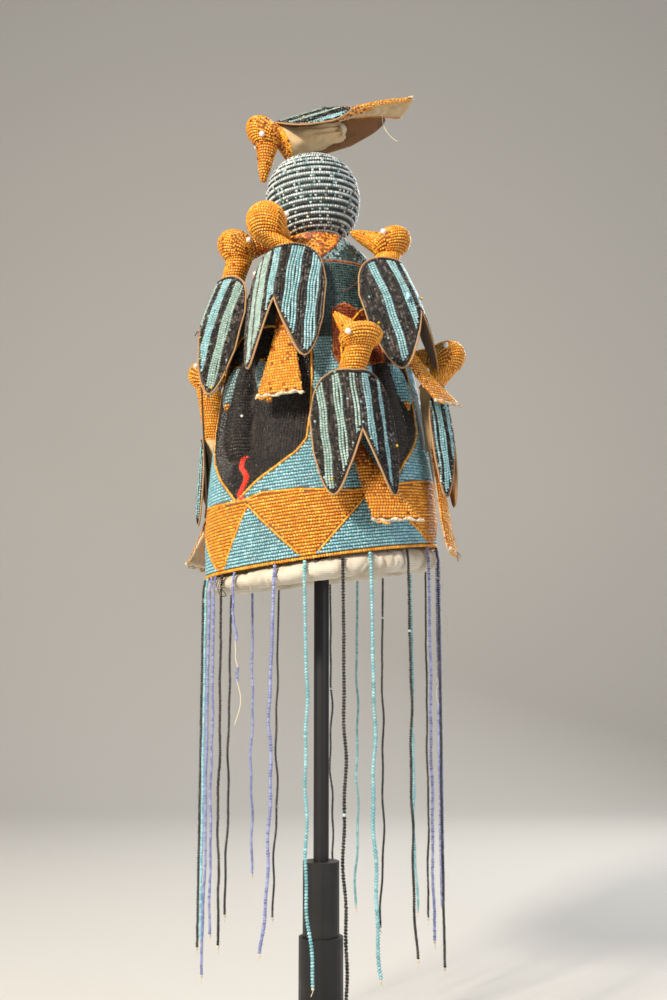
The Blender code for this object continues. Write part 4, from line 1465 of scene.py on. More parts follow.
def make_ball():
    """The stuffed ball, with rows of white and black beads by turns."""
    shares = np.linspace(0, BALL_CLOTH_TO, 60)
    cloth = make_piece("ball_cloth", closed_loft(ball_rings(shares), "backing", SEAT),
                       slot="striped_beadwork", outside_up=True)
    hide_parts("ball")
    fine = np.linspace(0, BALL_ROWS_TO, 500)
    lengths = slope_lengths(read(BALL_PROFILE, fine) * BALL_RADIUS, fine, BALL_HEIGHT)
    rows = int(lengths[-1] / BALL_ROW_PITCH)
    shares = np.interp((np.arange(rows) + 0.5) * lengths[-1] / rows, lengths, fine)
    parts = []
    surface_turns = even_turns(240)
    for number, share in enumerate(shares):
        rings = ball_rings(np.array([share - BESIDE_ROW, share, share + BESIDE_ROW]))
        below, line, above = ring_points(rings, surface_turns, SEAT)
        if np.linalg.norm(rings.across[1]) < BALL_BEADED_FROM:
            continue
        places = spaced(line, BEAD_STEP, chance.uniform(*ROW_START), closed=True)
        ahead = np.roll(line, -1, axis=0) - line
        points, along, normals = [at_places(one, places, closed=True)
                                  for one in (line, ahead, np.cross(ahead, above - below))]
        white = number % 2 == 0
        finish = np.full(len(places), "white" if white else "black", dtype=FINISH)
        odd = chance.random(len(places))
        if white:
            finish[odd < AMBER_IN_WHITE] = "amber"
            finish[odd > 1 - GREY_IN_WHITE] = "grey_blue"
        else:
            finish[odd < GREY_IN_BLACK] = "grey_blue"
            finish[odd > 1 - WHITE_IN_BLACK] = "white"
        radius = BEAD_RADIUS * (WHITE_SIZE if white else 1.0)
        parts += bead_parts(points, along, normals, finish, radius)
    make_piece("ball_beads", parts, slot="striped_beadwork")


# Capes

CAPE_COLOURS = {"k": "black", "p": "pale_blue", "g": "pale_green"}
CAPE_BORDER = 0.0032  # how far inside the edge the lengthwise rows stop
CAPE_FOOT = 1.3  # of that border, at the lower edge
CAPE_PITCH = 0.0026  # between rows, along the cloth
CAPE_ROWS_AT = 0.3  # share of the length where the rows are that pitch apart
EDGE_ROW = 0.0016  # how far inside the edge the black row lies
ROW_SWAY = 0.0004  # how far the rows wander to each side
SWAY_TURN = 17  # radians of that wave, down a cape's length
SWAY_SHIFT = 2.1  # radians from one group of rows to the next
SWAY_ROWS = 3  # rows of a group
NEARBY = 0.01  # between the places where a cape's slope is measured, as shares of its size
CAPE_SEAT = 0.0005  # a bead's middle, over a cape's cloth
CAPE_LIFT = 0.0002  # of the cloth's inner face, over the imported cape's
WING_SPLIT = 0.35  # share of the half width within which one wing's length becomes the other's
WHOLE_WIDTH_DOWN = 0.4  # share of the length at which a cape's cloth is whole from side to side
GLINT_SHARE = 0.6  # at most this share of a black row's beads are painted greyish, as painted glints
GREY_IN_CAPE = 0.01  # share of odd beads in a black row
YELLOW_IN_CAPE = 0.0012  # share of odd beads in any row
CORD_RADIUS = 0.0009
CORD_OUTSIDE = 0.0005  # the cord's middle, past the cloth's edge
CORD_LIFT = 0.0014  # the cord's middle, over the cape's inner face
# Larger beads sewn singly on a cape: bird, place across and down it, length, radius, finish
SINGLE_BEADS = (
    ("upper_bird_3", -0.24, 0.38, 0.0085, 0.0022, "turquoise"),
    ("upper_bird_3", 0.20, 0.36, 0.0030, 0.0017, "yellow"),
    ("lower_bird_1", 0.90, 0.60, 0.0026, 0.0015, "yellow"),
)
SINGLE_SEAT = 0.8  # how far a single bead's middle is above the others, in its radii


def cape_edges(bird, across):
    """Upper and lower edge of a cape. Its two wings may be of different lengths."""
    share = np.abs(across)
    both = (bird.left_wing + bird.right_wing) / 2
    wing = np.interp(across, (-WING_SPLIT, 0.0, WING_SPLIT),
                     (bird.left_wing, both, bird.right_wing))
    return np.clip(read(CAPE_OUTLINE, share, 1), 0, None), read(CAPE_OUTLINE, share, 2) * wing


def cape_surface(perch, across, down):
    """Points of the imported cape's inner face."""
    across = np.asarray(across, float)
    down = np.asarray(down, float)
    ridge = perch.belly_lift + 2 * torso_depth(perch, 1.0) + 2 * GAP
    ridge = ridge + CAPE_SPREAD * perch.bird.cape * down
    wide = across * perch.bird.width
    lift = ridge - CAPE_DROP * np.abs(wide) ** CAPE_ROUNDING
    return (perch.foot(-down * CAPE_LENGTH) + perch.out * lift[..., None]
            + perch.side * (wide * CAPE_HALF_WIDTH)[..., None])


def cape_normal(perch, across, down):
    wide = cape_surface(perch, across + NEARBY, down) - cape_surface(perch, across - NEARBY, down)
    long = cape_surface(perch, across, down + NEARBY) - cape_surface(perch, across, down - NEARBY)
    normal = unit(np.cross(wide, long))
    return normal * np.sign((normal * perch.out).sum(-1, keepdims=True))


def cape_outline(perch, inset, count=240):
    """A line this far inside the cape's edge, all the way round, in the cape's shares."""
    half = CAPE_HALF_WIDTH * perch.bird.width
    across = np.linspace(-1, 1, 161)
    upper, lower = cape_edges(perch.bird, across)
    ring = np.concatenate([np.stack([across, upper], 1), np.stack([across, lower], 1)[::-1]])
    ring = ring * (half, CAPE_LENGTH)
    ring = resampled(np.concatenate([ring, ring[:1]]), count + 1)[:-1]
    ahead = unit(np.roll(ring, -2, axis=0) - np.roll(ring, 2, axis=0))
    ring = ring + np.stack([-ahead[:, 1], ahead[:, 0]], 1) * inset
    return ring[:, 0] / half, ring[:, 1] / CAPE_LENGTH


def cape_bead_parts(perch):
    """Rows of beads down both wings, inside one black row that follows the edge."""
    bird = perch.bird
    half = CAPE_HALF_WIDTH * bird.width
    fine = np.linspace(0, 1 - CAPE_BORDER / half, 60)
    lengths = lengths_along(cape_surface(perch, fine, np.full(60, CAPE_ROWS_AT)))
    places = np.interp(np.arange(0.5, lengths[-1] / CAPE_PITCH) * CAPE_PITCH, lengths, fine)
    margin = CAPE_BORDER / CAPE_LENGTH
    parts = []
    for side, colours in ((-1, bird.left), (1, bird.right)):
        for place in places:
            across = side * place
            number = int(place * half / STRIPE_PITCH)
            upper, lower = cape_edges(bird, across)
            downs = np.linspace(upper + margin, lower - CAPE_FOOT * margin, 120)
            shift = SWAY_SHIFT * (number // SWAY_ROWS)
            sway = np.sin(downs * SWAY_TURN + bird.azimuth + shift)
            wave = ROW_SWAY * sway / half
            finish = CAPE_COLOURS[colours[min(number, len(colours) - 1)]]
            parts += laid_on_cape(perch, across + wave, downs, finish)
    across, downs = cape_outline(perch, EDGE_ROW)
    return parts + laid_on_cape(perch, across, downs, "black") + single_bead_parts(perch)


def single_bead_parts(perch):
    parts = []
    for name, across, down, length, radius, finish in SINGLE_BEADS:
        if name != perch.bird.name:
            continue
        here, below = cape_surface(perch, across, np.array([[down], [down + NEARBY]]))
        normal = cape_normal(perch, np.array([across]), np.array([down]))
        point = here + normal * (CLOTH_WALL + BEAD_RADIUS + SINGLE_SEAT * radius)
        parts += bead_parts(point, below - here, normal, finish, radius, length, strung=True)
    return parts


def laid_on_cape(perch, across, downs, finish):
    """One row of beads on a cape. Here and there its black beads are painted greyish, as painted
    glints.
    """
    normals = cape_normal(perch, across, downs)
    line = cape_surface(perch, across, downs) + normals * (CLOTH_WALL + CAPE_SEAT)
    places = spaced(line, BEAD_STEP)
    finishes = np.full(len(places), finish, dtype=FINISH)
    odd = chance.random(len(places))
    if finish == "black":
        glinting = chance.uniform(0.0, GLINT_SHARE)
        # painted glints: some black beads take a greyish finish
        finishes[chance.random(len(places)) < glinting] = "worn_black"
        finishes[odd > 1 - GREY_IN_CAPE] = "grey_blue"
    finishes[odd < YELLOW_IN_CAPE] = "yellow"
    along = at_places(np.gradient(line, axis=0), places)
    return bead_parts(at_places(line, places), along, at_places(normals, places), finishes)


def make_cape(perch):
    """Two wings in one cloth: beaded outside, plain brown inside, bound with cord."""
    bird = perch.bird
    across = np.concatenate([np.linspace(-1, 0, 20)[:-1], np.linspace(0, 1, 20)])
    upper, lower = cape_edges(bird, across)
    shares = np.linspace(0, 1, 24)[:, None]
    downs = upper + (lower - upper) * shares
    spread = np.broadcast_to(across, downs.shape)
    normals = cape_normal(perch, spread, downs)
    inner = cape_surface(perch, spread, downs) + normals * CAPE_LIFT
    outer = inner + normals * CLOTH_WALL
    edge = [np.stack([inner[row], outer[row]]) for row in (0, -1)]
    edge += [np.stack([inner[:, column], outer[:, column]]) for column in (0, -1)]
    faces = [sheet_part(inner, "brown"), sheet_part(outer, "dark_backing")]
    faces += [sheet_part(strip, "cord") for strip in edge]
    cloth = make_piece(f"{bird.name}_cape_cloth", faces, slot="striped_beadwork", outside_up=True)
    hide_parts(f"{bird.name}_cape")
    rim_across, rim_down = cape_outline(perch, -CORD_OUTSIDE, 120)
    rim = cape_surface(perch, rim_across, rim_down) + perch.out * CORD_LIFT
    wound = tube_part(rim, CORD_RADIUS, "cord", sides=5, closed=True)
    cord = make_piece(f"{bird.name}_cape_cord", wound, slot="striped_beadwork")
    beads = make_piece(f"{bird.name}_cape_beads", cape_bead_parts(perch), slot="striped_beadwork")
    cut_size(perch, across, lower)


def cut_size(perch, across, lower):
    """Width and length of a cape's cloth as cut, to 0.1 mm, measured over its curves."""
    longest = np.argmax(lower)
    downs = np.linspace(0, lower[longest], 24)
    over = cape_surface(perch, across, np.full(len(across), WHOLE_WIDTH_DOWN))
    down = cape_surface(perch, np.full(len(downs), across[longest]), downs)
    return tuple(round(float(lengths_along(line)[-1]), 4) for line in (over, down))


# Bodies, their eyes and the knot

TORSO_FOLD = 0.0009  # depth of the cotton's folds
TORSO_FOLD_SIZE = 0.02
PLEATS = 9  # round a bag, at its tied rear end
PLEAT_DEPTH = 0.0016
PLEAT_REACH = 0.55  # share of the bag's length over which they fade
PLEAT_UNEVEN = 2.2  # how unevenly they lie round the bag, in radians
PLEAT_FLAT = 0.3  # how flat the cloth is between two of them
FOLD_WAVES = 7
FOLD_SHARES = (0.7, 1.5)  # of the usual number of folds, wave by wave
DEEPEST_FOLD = 1.4
KNOT_RADIUS = 0.0052
KNOT_FOLD = 0.0016
KNOT_FOLD_SIZE = 0.005
KNOT_AT = (0.04, -0.8, -0.15)  # share of the bag's length, of its half width and half depth
KNOT_WINDING = 0.004  # how much of the knot's height is wound with thread
KNOT_WINDING_TURN = 25  # in radians
KNOT_THREAD_RADIUS = 0.0005
# Share of rust beads on the neck, the head and the beak, where it isn't the usual one
RUSTY_HEAD = {"top_bird": (0.10, 0.07, 0.03), "upper_bird_2": (0.02, 0.05, 0.4)}
USUAL_RUST = (0.0, 0.01, 0.01)
# Where the eye beads sit: share of the head's bend, and degrees above its left and right side
BIRD_EYES = {
    "upper_bird_1": (0.62, 8, 8),
    "upper_bird_2": (0.76, -3, -3),
    "lower_bird_1": (0.40, 40, -60),
    "top_bird": (0.90, 20, 20),
}
USUAL_EYES = (0.62, 20, 20)
BIRD_EYE_RADIUS = 0.0028
BIRD_EYE_LIFT = 0.0004
ANY_PHASE = 6.28  # a whole turn, near enough for a wave that starts anywhere


def wrinkled(points, centres, depth, size, seed):
    """Cloth points moved inwards in soft folds, which are the sum of several waves."""
    folds = np.random.default_rng(seed)
    swing = np.zeros(points.shape[:-1])
    for _ in range(FOLD_WAVES):
        direction = unit(folds.normal(size=3)) * folds.uniform(*FOLD_SHARES)
        swing += np.sin(points @ direction * 2 * math.pi / size + folds.uniform(0, ANY_PHASE))
    away = unit(points - centres)
    return points - away * (depth * np.clip(0.5 + swing / 4, 0, DEEPEST_FOLD))[..., None]


def gathered(points, centres, turns, depth):
    """Uneven pleats in a bag's cloth, deepest at its tied rear end."""
    rows = np.linspace(0, 1, len(points))[:, None]
    uneven = PLEAT_UNEVEN * np.sin(2 * turns + 3 * rows)
    pleats = np.clip(np.cos(PLEATS * turns + uneven + 2 * rows), -PLEAT_FLAT, 1)
    fading = np.exp(-((rows / PLEAT_REACH) ** 2))
    return points - unit(points - centres) * (depth * (PLEAT_FLAT + pleats) * fading)[..., None]


def make_body(perch):
    """The stuffed body: plain cotton, with beads round its neck, head and beak."""
    name = perch.bird.name
    torso = torso_rings(perch, np.linspace(0, 1, 28)[:-1])
    turns = even_turns(56)
    full = perch.fullness[1]
    bag = ring_points(torso, turns)
    bag = wrinkled(bag, torso.centres[:, None], TORSO_FOLD * full, TORSO_FOLD_SIZE,
                   seed=len(name) + int(abs(perch.bird.azimuth)))
    bag = gathered(bag, torso.centres[:, None], turns, PLEAT_DEPTH * full)
    neck, head, beak = head_rings(perch, CLOTH_PITCH)
    beaded = joined(neck, head, beak)
    stuffed = ring_points(beaded, turns, SEAT)
    cloth = make_piece(f"{name}_body_cloth", [
        cap_part(bag[0], "beige"),
        sheet_part(np.concatenate([bag, stuffed[:1]]), "beige", closed=True),
        sheet_part(stuffed, "head_backing", closed=True),
        cap_part(stuffed[-1], "head_backing"),
    ], slot="orange_beadwork", outside_up=True)
    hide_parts(f"{name}_body")
    rows = head_rings(perch, ROW_PITCH)
    shares = RUSTY_HEAD.get(name, USUAL_RUST)
    rusty = np.concatenate([np.full(len(one.centres), share) for one, share in zip(rows, shares)])
    parts = ring_bead_parts(joined(*rows), ROW_PITCH, rusty)
    for side in (-1, 1):
        parts += bird_eye(perch, head, side)
    make_piece(f"{name}_head_beads", parts, slot="orange_beadwork")
    return cloth


def bird_eye(perch, head, side):
    """A single larger white bead."""
    share, left, right = BIRD_EYES.get(perch.bird.name, USUAL_EYES)
    index = int(share * (len(head.centres) - 1))
    radius = np.linalg.norm(head.across[index])
    turn = math.radians(left if side < 0 else right)
    place = (unit(head.across[index]) * side * math.cos(turn)
             + unit(head.upright[index]) * math.sin(turn))
    centre = head.centres[index] + place * (radius + BIRD_EYE_LIFT)
    return round_bead(centre, BIRD_EYE_RADIUS, "pearl")


def make_knot(perch):
    """The knot that ties the rear end of the bag of the bird on the ball."""
    share, aside, above = KNOT_AT
    rear = torso_rings(perch, [share])
    centre = rear.centres[0] + aside * rear.across[0] + above * rear.upright[0]
    turns = even_turns(28)
    heights = np.linspace(-0.96, 0.96, 16)
    rings = np.sqrt(1 - heights ** 2)
    lump = vector(np.outer(rings, np.cos(turns)), np.outer(rings, np.sin(turns)), heights[:, None])
    lump = wrinkled(centre + lump * KNOT_RADIUS, centre, KNOT_FOLD, KNOT_FOLD_SIZE, seed=3)
    parts = closed_parts(lump, "beige")
    wound = np.linspace(0, 1, 120)
    turns = (KNOT_WINDING_TURN * wound)[:, None]
    wrap = (perch.up * (KNOT_WINDING * wound - KNOT_WINDING / 2)[:, None]
            + KNOT_RADIUS * (perch.side * np.cos(turns) + perch.out * np.sin(turns)))
    parts += tube_part(centre + wrap, KNOT_THREAD_RADIUS, "thread", sides=5)
    make_piece(f"{perch.bird.name}_knot", parts, slot="orange_beadwork", outside_up=True)


# Tails

TAIL_SEAT = 0.0012  # depth of a tail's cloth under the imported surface
TAIL_FOLD = 0.0005
TAIL_FOLD_SIZE = 0.012
# Share of the tail's length, share of its beads that are rust
TAIL_RUST = ((0.0, 1.0), (0.22, 0.85), (0.36, 0.08), (1.0, 0.02))
HEM_TURNS = np.radians((-2, 182))  # how far it goes round the tail's end
HEM_RADIUS = 0.0012
HEM_STITCHES = 13
HEM_THREAD_RADIUS = 0.00025
HEM_THREAD_LIFT = 0.0003
HEM_BEHIND = (0.0006, 0.0016)  # the hem's middle, behind the tail's end, and how much that varies
HEM_WAVES = (7, 3.1, 11)  # two of its line and one of its lumps, in waves for each whole turn
HEM_ENDS = ((0.0, 0.12), (0.45, 1.0))  # near its ends: sine of the turn, share of its radius
HEM_LUMP = 0.0005  # how much the hem's radius varies
HEM_STRING_TURNS = np.radians((112, 158))  # where a short string of beads hangs from the hem
HEM_STRING_SAG = (0.0018, 0.0008)  # behind the hem, at its ends and more in its middle


def make_tail(perch):
    """The flared tail: a flat stuffed pad, beaded above, with its cotton showing at the end."""
    name = perch.bird.name
    rings = tail_rings(perch, ROW_PITCH)
    above = ring_points(rings, np.linspace(0, math.pi, 17), TAIL_SEAT)
    below = ring_points(rings, np.linspace(math.pi, 2 * math.pi, 17), TAIL_SEAT)
    below = wrinkled(below, rings.centres[:, None], TAIL_FOLD, TAIL_FOLD_SIZE,
                     seed=int(abs(perch.bird.azimuth)))
    end = np.stack([above[-1], below[-1][::-1]])
    start = np.stack([above[0], below[0][::-1]])
    cloth = make_piece(f"{name}_tail_cloth", [
        sheet_part(above, "head_backing"),
        sheet_part(below, perch.tail_lining),
        sheet_part(end, "cream"),
        sheet_part(start, "cream"),
    ], slot="orange_beadwork", outside_up=True)
    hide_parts(f"{name}_tail")
    beaded = Rings(*(array[:-1] for array in rings))
    rusty = straight(TAIL_RUST, np.linspace(0, 1, len(beaded.centres)))
    parts = []
    half = len(beaded.centres) // 2
    for rows, over in zip((slice(0, half), slice(half, None)), perch.bead_reach):
        these = Rings(*(array[rows] for array in beaded))
        turns = (math.radians(-over), math.radians(180 + over))
        parts += ring_bead_parts(these, ROW_PITCH, rusty[rows], turns)
    make_piece(f"{name}_tail_beads", parts, slot="orange_beadwork")
    make_piece(f"{name}_tail_hem", tail_hem(perch, rings), slot="orange_beadwork")


def tail_hem(perch, rings):
    """The turned hem of cotton round a tail's end, lumpy and whipped with thread."""
    last = Rings(*(array[-1:] for array in rings))
    turns = np.linspace(*HEM_TURNS, 64)
    edge = ring_points(last, turns)[0]
    behind = unit(rings.centres[-1] - rings.centres[-2])
    starts = np.random.default_rng(int(abs(perch.bird.azimuth)) + 3).uniform(0, ANY_PHASE, 3)
    bends, swings, lumps = [np.sin(wave * turns + start) for wave, start in zip(HEM_WAVES, starts)]
    line = edge + behind * (HEM_BEHIND[0] + HEM_BEHIND[1] * (bends * swings))[:, None]
    radius = (HEM_RADIUS + HEM_LUMP * lumps) * np.interp(np.sin(turns), *HEM_ENDS)
    parts = tube_part(line, radius, "cream", sides=6)
    parts += tube_part(hem_stitches(line, radius, behind), HEM_THREAD_RADIUS, "cord", sides=3)
    loop = np.flatnonzero((turns > HEM_STRING_TURNS[0]) & (turns < HEM_STRING_TURNS[1]))
    sag = HEM_STRING_SAG[0] + HEM_STRING_SAG[1] * np.sin(np.linspace(0, math.pi, len(loop)))
    string = line[loop] + behind * sag[:, None]
    places = spaced(string, BEAD_STEP)
    along = at_places(np.gradient(string, axis=0), places)
    normals = np.broadcast_to(perch.out, (len(places), 3))
    return parts + bead_parts(at_places(string, places), along, normals, "orange", strung=True)


def hem_stitches(line, radius, behind):
    """The line of the thread that is whipped round a hem."""
    count = 200
    ahead = unit(np.gradient(line, axis=0))
    aside = unit(np.cross(ahead, behind))
    index = np.linspace(0, len(line) - 1, count)
    first = at_places(aside, index)
    second = at_places(np.cross(aside, ahead), index)
    size = HEM_THREAD_LIFT + np.interp(index, np.arange(len(radius)), radius)
    turns = (2 * math.pi * HEM_STITCHES * np.linspace(0, 1, count))[:, None]
    return resampled(line, count) + size[:, None] * (first * np.cos(turns) + second * np.sin(turns))


def make_bird(perch):
    """A bird: its body, its cape and its tail."""
    body = make_body(perch)
    make_cape(perch)
    make_tail(perch)


# Veil

STRAND_SLOTS = {
    "black": "black_beads",
    "light_blue": "light_blue_beads",
    "periwinkle": "periwinkle_beads",
    "turquoise": "turquoise_beads",
}
STRAND_STEP = 0.65  # between a strand's beads, in their widths
# Waves of a strand: how far to each side, and radians along its length
SWAYS = ((0.0009, 19), (0.0006, 43))
SWAY_FROM = (0.15, 0.40)  # length shares between which the strand comes free of the roll
STRAND_THREAD_RADIUS = 0.00035
LOOSE_END = 0.007  # of thread, below the last bead
LOOSE_CURL = 0.0015
KNOT_BEAD = 0.0013  # radius of the knot below the last bead
KNOT_BEAD_DROP = 0.0012
# White beads strung among the others: strand number and length share
WHITE_BEADS = ((9, 0.55), (20, 0.42), (18, 0.16), (11, 0.21))
BROKEN_STRAND = 6
# The broken strand's beads, as length shares; its thread hangs bare between and below them
BROKEN_RUNS = ((0.0, 0.64), (0.86, 1.0))
BROKEN_SHIFT = ((0.0, 0.0), (0.35, 0.0006), (0.62, 0.0032), (1.0, 0.0048))  # towards +X
BARE_THREAD = 0.036
BARE_CURL = 0.0034
BARE_CURL_TURN = 3.6  # in radians
BARE_THREAD_RADIUS = 0.0006


def strand_line(strand):
    """The middle line of a string of beads, from the shell's edge over the roll and down."""
    azimuth = math.radians(strand.azimuth)
    level = sideways(azimuth)
    thickness = strand.thickness * BEAD_THICKNESS
    start = edge_height(azimuth) - 2 * GAP - EDGE_THICKNESS
    roll_middle = start - GAP - ROLL_THICKNESS / 2
    end = RIM_HEIGHT - strand.reach * VEIL_REACH
    hang = RIM_RADIUS - ROLL_INSET + GAP + thickness / 2
    seat = RIM_RADIUS - EDGE_THICKNESS / 4
    axis = middle(RIM_HEIGHT) - vector(0, 0, RIM_HEIGHT)
    points = [axis + outward(azimuth) * seat + vector(0, 0, start)]
    shares = np.linspace(0, 1, 60)
    swings = read(VEIL_CURVE, shares) * strand.swing * VEIL_SWING
    for share, swing in zip(shares, swings):
        height = roll_middle + (end - roll_middle) * share
        points.append(axis + outward(azimuth) * hang + level * swing + vector(0, 0, height))
    return np.array(points)


def swayed(number, strand):
    """A strand's line as it hangs, a little crooked."""
    line = resampled(strand_line(strand), 900)
    lengths = np.linspace(0, 1, len(line))
    azimuth = math.radians(strand.azimuth)
    level = sideways(azimuth)
    starts = np.random.default_rng(number).uniform(0, 2 * math.pi, len(SWAYS))
    sway = sum(far * np.sin(lengths * turns + start) for (far, turns), start in zip(SWAYS, starts))
    line = line + level * (sway * np.interp(lengths, SWAY_FROM, (0, 1)))[:, None]
    if number == BROKEN_STRAND:
        line = line + vector(1, 0, 0) * read(BROKEN_SHIFT, lengths)[:, None]
    return line, level


def make_strand(number, strand):
    """A string of seed beads on cotton thread. It is knotted at its end, unless it is broken."""
    broken = number == BROKEN_STRAND
    line, level = swayed(number, strand)
    width = strand.thickness * BEAD_THICKNESS
    step = STRAND_STEP * width
    places = spaced(line, step)
    share = places / len(line)
    if broken:
        kept = [(share >= first) & (share <= last) for first, last in BROKEN_RUNS]
        places = places[np.any(kept, axis=0)]
        share = places / len(line)
    finishes = np.full(len(places), strand.finish, dtype=FINISH)
    for which, at in WHITE_BEADS:
        if which == number:
            finishes[np.argmin(np.abs(share - at))] = "white"
    points = at_places(line, places)
    along = at_places(np.gradient(line, axis=0), places)
    normals = np.broadcast_to(outward(math.radians(strand.azimuth)), points.shape)
    parts = bead_parts(points, along, normals, finishes, width / 2, step, strung=True)
    end = line[-1]
    drop = np.linspace(0, 1, 9)[1:, None]
    if broken:
        length, radius = BARE_THREAD, BARE_THREAD_RADIUS
        curl = vector(1, 0, 0) * np.sin(BARE_CURL_TURN * drop) * BARE_CURL
    else:
        length, radius = LOOSE_END, STRAND_THREAD_RADIUS
        curl = level * np.sin(drop * (3 + number % 4) + number) * LOOSE_CURL * drop
    loose = end - vector(0, 0, 1) * drop * length + curl
    parts += tube_part(np.concatenate([resampled(line, 60), loose]), radius, "thread", sides=4)
    if not broken:
        parts += round_bead(end - vector(0, 0, KNOT_BEAD_DROP), KNOT_BEAD, "thread")
    piece = make_piece(f"strand_{number:02d}_beads", parts, slot=STRAND_SLOTS[strand.finish])
    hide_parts(f"veil_strand_{number:02d}")


# Loose threads

# Finish, radius, and the places that each hanging thread passes
HANGING_THREADS = (
    ("thread", 0.0004, ((0.0615, 0.020, 0.9120), (0.0612, 0.020, 0.9012), (0.0652, 0.020, 0.8907),
                        (0.0724, 0.020, 0.8826), (0.0770, 0.020, 0.8801))),
    ("dark_thread", 0.0009, ((-0.1160, -0.030, 0.6620), (-0.1125, -0.032, 0.6150),
                             (-0.1100, -0.030, 0.5720), (-0.1078, -0.026, 0.5300),
                             (-0.1068, -0.022, 0.5050), (-0.1080, -0.020, 0.4880))),
    ("dark_thread", 0.0005, ((-0.1195, -0.030, 0.6600), (-0.1165, -0.032, 0.6635),
                             (-0.1140, -0.030, 0.6590), (-0.1165, -0.028, 0.6560))),
    ("thread", 0.0004, ((0.1109, 0.0, 0.3587), (0.1053, 0.002, 0.3486), (0.1081, 0.0, 0.3375),
                        (0.1063, 0.001, 0.3275), (0.1081, 0.0, 0.3168))),
    ("thread", 0.0003, ((0.1150, -0.004, 0.400), (0.1172, -0.004, 0.392), (0.1162, -0.004, 0.385),
                        (0.1172, -0.004, 0.378), (0.1148, -0.004, 0.370))),
    ("thread", 0.0003, ((0.0975, -0.030, 0.434), (0.1060, -0.034, 0.431), (0.1105, -0.032, 0.4262),
                        (0.1098, -0.030, 0.419))),
    ("dark_thread", 0.00035, ((-0.0880, -0.062, 0.4300), (-0.0905, -0.063, 0.4185),
                              (-0.0880, -0.063, 0.4128), (-0.0835, -0.063, 0.4130),
                              (-0.0870, -0.063, 0.4190), (-0.0820, -0.063, 0.4205))),
)
# The red thread that lies on the shell: azimuth in degrees, height on the shell
RED_THREAD = ((45.6, 0.2680), (38.0, 0.2555), (30.0, 0.2470), (22.0, 0.2410), (16.7, 0.2395))
RED_THREAD_LIFT = 0.0008
RED_THREAD_RADIUS = 0.00035
FRAYED_ENDS = 34  # short threads that stick out of the roll
FRAYED_RADIUS = 0.0002
FRAYED_AT = (0.45, 0.9)  # how far down the roll they start, in its thickness
FRAYED_ROOT = 0.0012  # how deep in the roll they start
FRAYED_BEND = 0.0011
FRAYED_FALLS = (0.0008, 0.0022)  # from each of a thread's places to the next
FRAYED_REACH = (0.0, 0.0012, 0.0016, 0.0018)  # outwards, place by place


def thread_line(places, count=60):
    """A smooth line through places."""
    rows = [(number, *place) for number, place in enumerate(places)]
    index = np.linspace(0, len(places) - 1, count)
    return np.stack([read(rows, index, column) for column in range(1, len(rows[0]))], axis=-1)


def make_loose_threads():
    """Threads that hang from the birds, lie on the shell or stick out of the roll."""
    parts = []
    for finish, radius, places in HANGING_THREADS:
        parts += tube_part(thread_line(places), radius, finish, sides=5)
    azimuth, height = thread_line(RED_THREAD).T
    azimuth = np.radians(azimuth)
    lying = skin(azimuth, height + edge_height(azimuth), RED_THREAD_LIFT)
    parts += tube_part(lying, RED_THREAD_RADIUS, "red_thread", sides=4)
    for _ in range(FRAYED_ENDS):
        parts += tube_part(frayed_line(), FRAYED_RADIUS, "thread", sides=3)
    make_piece("loose_threads", parts)


def frayed_line():
    """The line of a short thread that sticks out of the roll somewhere and falls."""
    azimuth = chance.uniform(-math.pi, math.pi)
    height = edge_height(azimuth) - EDGE_THICKNESS - ROLL_THICKNESS * chance.uniform(*FRAYED_AT)
    start = middle(height) + outward(azimuth) * (RIM_RADIUS - ROLL_INSET - FRAYED_ROOT)
    bends = np.cumsum(chance.normal(0, FRAYED_BEND, (4, 3)), axis=0)
    bends[0] = 0
    falls = vector(0, 0, -1) * np.arange(4)[:, None] * chance.uniform(*FRAYED_FALLS)
    reach = outward(azimuth) * np.array(FRAYED_REACH)[:, None]
    return thread_line(start + bends + falls + reach, 14)


# Surroundings

SWEEP_FRONT = -3.0
SWEEP_BACK = 2.0  # where its floor ends
SWEEP_BEND = 1.0  # radius of the bend between floor and wall
SWEEP_BEND_TURNS = (0.1, 1.57)
SWEEP_WALL = (1.3, 4.0)  # heights of the wall's rows of points
SWEEP_HALF_WIDTH = 4.0
SWEEP_DROP = 0.0005  # how far its floor is under the stand's base
TARGET = (0.0, 0.0, 0.6)  # what the lights face
# Name, place, size, power in watts, colour
LIGHTS = (
    ("key_softbox", (-1.2, -1.7, 1.7), (0.32, 0.32), 86, "#FFF4E4"),
    ("fill_softbox", (1.7, -1.3, 1.0), (1.2, 1.2), 14, "#F0F4FF"),
    ("rim_softbox", (0.9, 1.5, 1.7), (0.8, 1.2), 28, "#FFFFFF"),
)
ROOM_COLOUR = "#DADCDF"
ROOM_STRENGTH = 0.28
# The photograph's camera
CAMERA_PLACE = (0.0112, -1.077, 0.3375)
CAMERA_TILT = math.radians(99)  # from straight down
CAMERA_LENS = 41.4  # in mm, on film that is 36 mm wide
FILM_WIDTH = 36.0


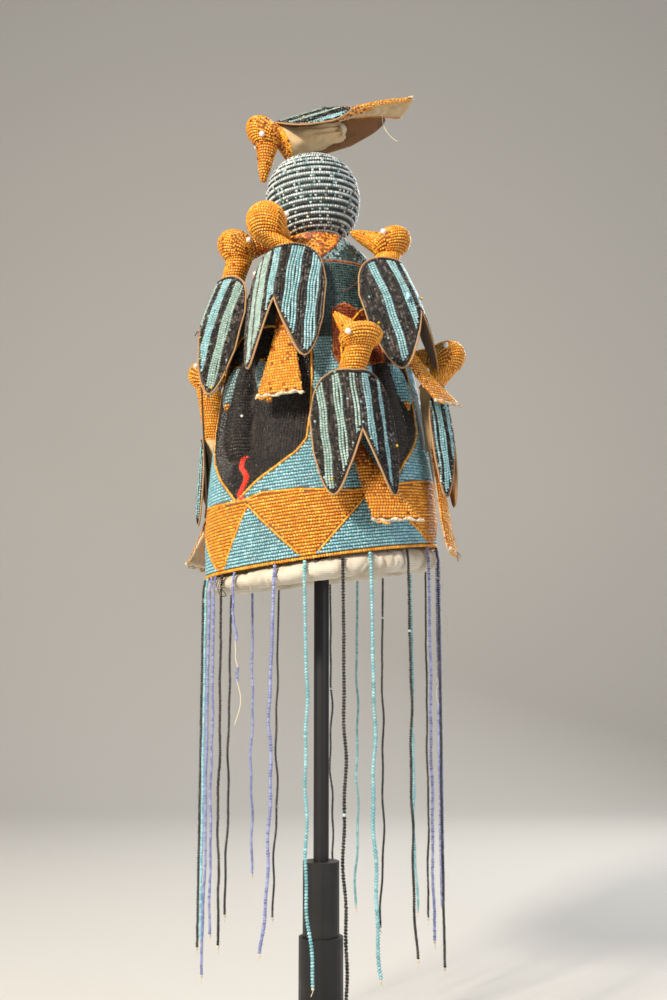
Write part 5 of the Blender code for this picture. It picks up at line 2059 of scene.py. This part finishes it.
def make_stage():
    """A pale studio sweep: a floor that curves up into a wall."""
    turns = np.linspace(*SWEEP_BEND_TURNS, 14)
    depth = np.concatenate([np.linspace(SWEEP_FRONT, SWEEP_BACK, 12),
                            SWEEP_BACK + SWEEP_BEND * np.sin(turns),
                            np.full(6, SWEEP_BACK + SWEEP_BEND)])
    height = np.concatenate([np.zeros(12), SWEEP_BEND * (1 - np.cos(turns)),
                             np.linspace(*SWEEP_WALL, 6)])
    width = np.linspace(-SWEEP_HALF_WIDTH, SWEEP_HALF_WIDTH, 9)
    points = vector(width[None], depth[:, None], height[:, None] - SWEEP_DROP)
    make_object("studio_sweep", [sheet_part(points, "sweep")])


def add_light(name, place, size, power, colour):
    """A softbox that faces the crown."""
    data = bpy.data.lights.new(name, "AREA")
    data.shape = "RECTANGLE"
    data.size, data.size_y = size
    data.energy = power
    data.color = linear(colour)[:3]
    made = bpy.data.objects.new(name, data)
    bpy.context.scene.collection.objects.link(made)
    made.location = place
    made.rotation_euler = (Vector(TARGET) - Vector(place)).to_track_quat("-Z", "Y").to_euler()


def make_light_and_camera():
    for row in LIGHTS:
        add_light(*row)
    scene = bpy.context.scene
    world = bpy.data.worlds.new("studio")
    world.use_nodes = True
    background = world.node_tree.nodes["Background"]
    background.inputs["Color"].default_value = linear(ROOM_COLOUR)
    background.inputs["Strength"].default_value = ROOM_STRENGTH
    scene.world = world
    scene.view_settings.view_transform = "Standard"
    data = bpy.data.cameras.new("camera")
    data.sensor_width = FILM_WIDTH
    data.lens = CAMERA_LENS
    camera = bpy.data.objects.new("camera", data)
    scene.collection.objects.link(camera)
    camera.location = CAMERA_PLACE
    camera.rotation_euler = (CAMERA_TILT, 0.0, 0.0)
    scene.camera = camera


def main():
    make_light_and_camera()
    make_materials()
    make_stage()
    perches = [Perch(bird) for bird in BIRDS]
    make_shell(perches)
    make_edge()
    make_roll()
    make_ball()
    for perch in perches:
        make_bird(perch)
    on_ball = BallPerch(TOP_BIRD, TOP_FULLNESS)
    make_bird(on_ball)
    make_knot(on_ball)
    for number, strand in enumerate(VEIL, start=1):
        make_strand(number, strand)
    make_loose_threads()
    for name in ("stand_post", "stand_base"):
        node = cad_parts[name]
        node.data.materials.clear()
        node.data.materials.append(MATERIALS["steel"])


main()
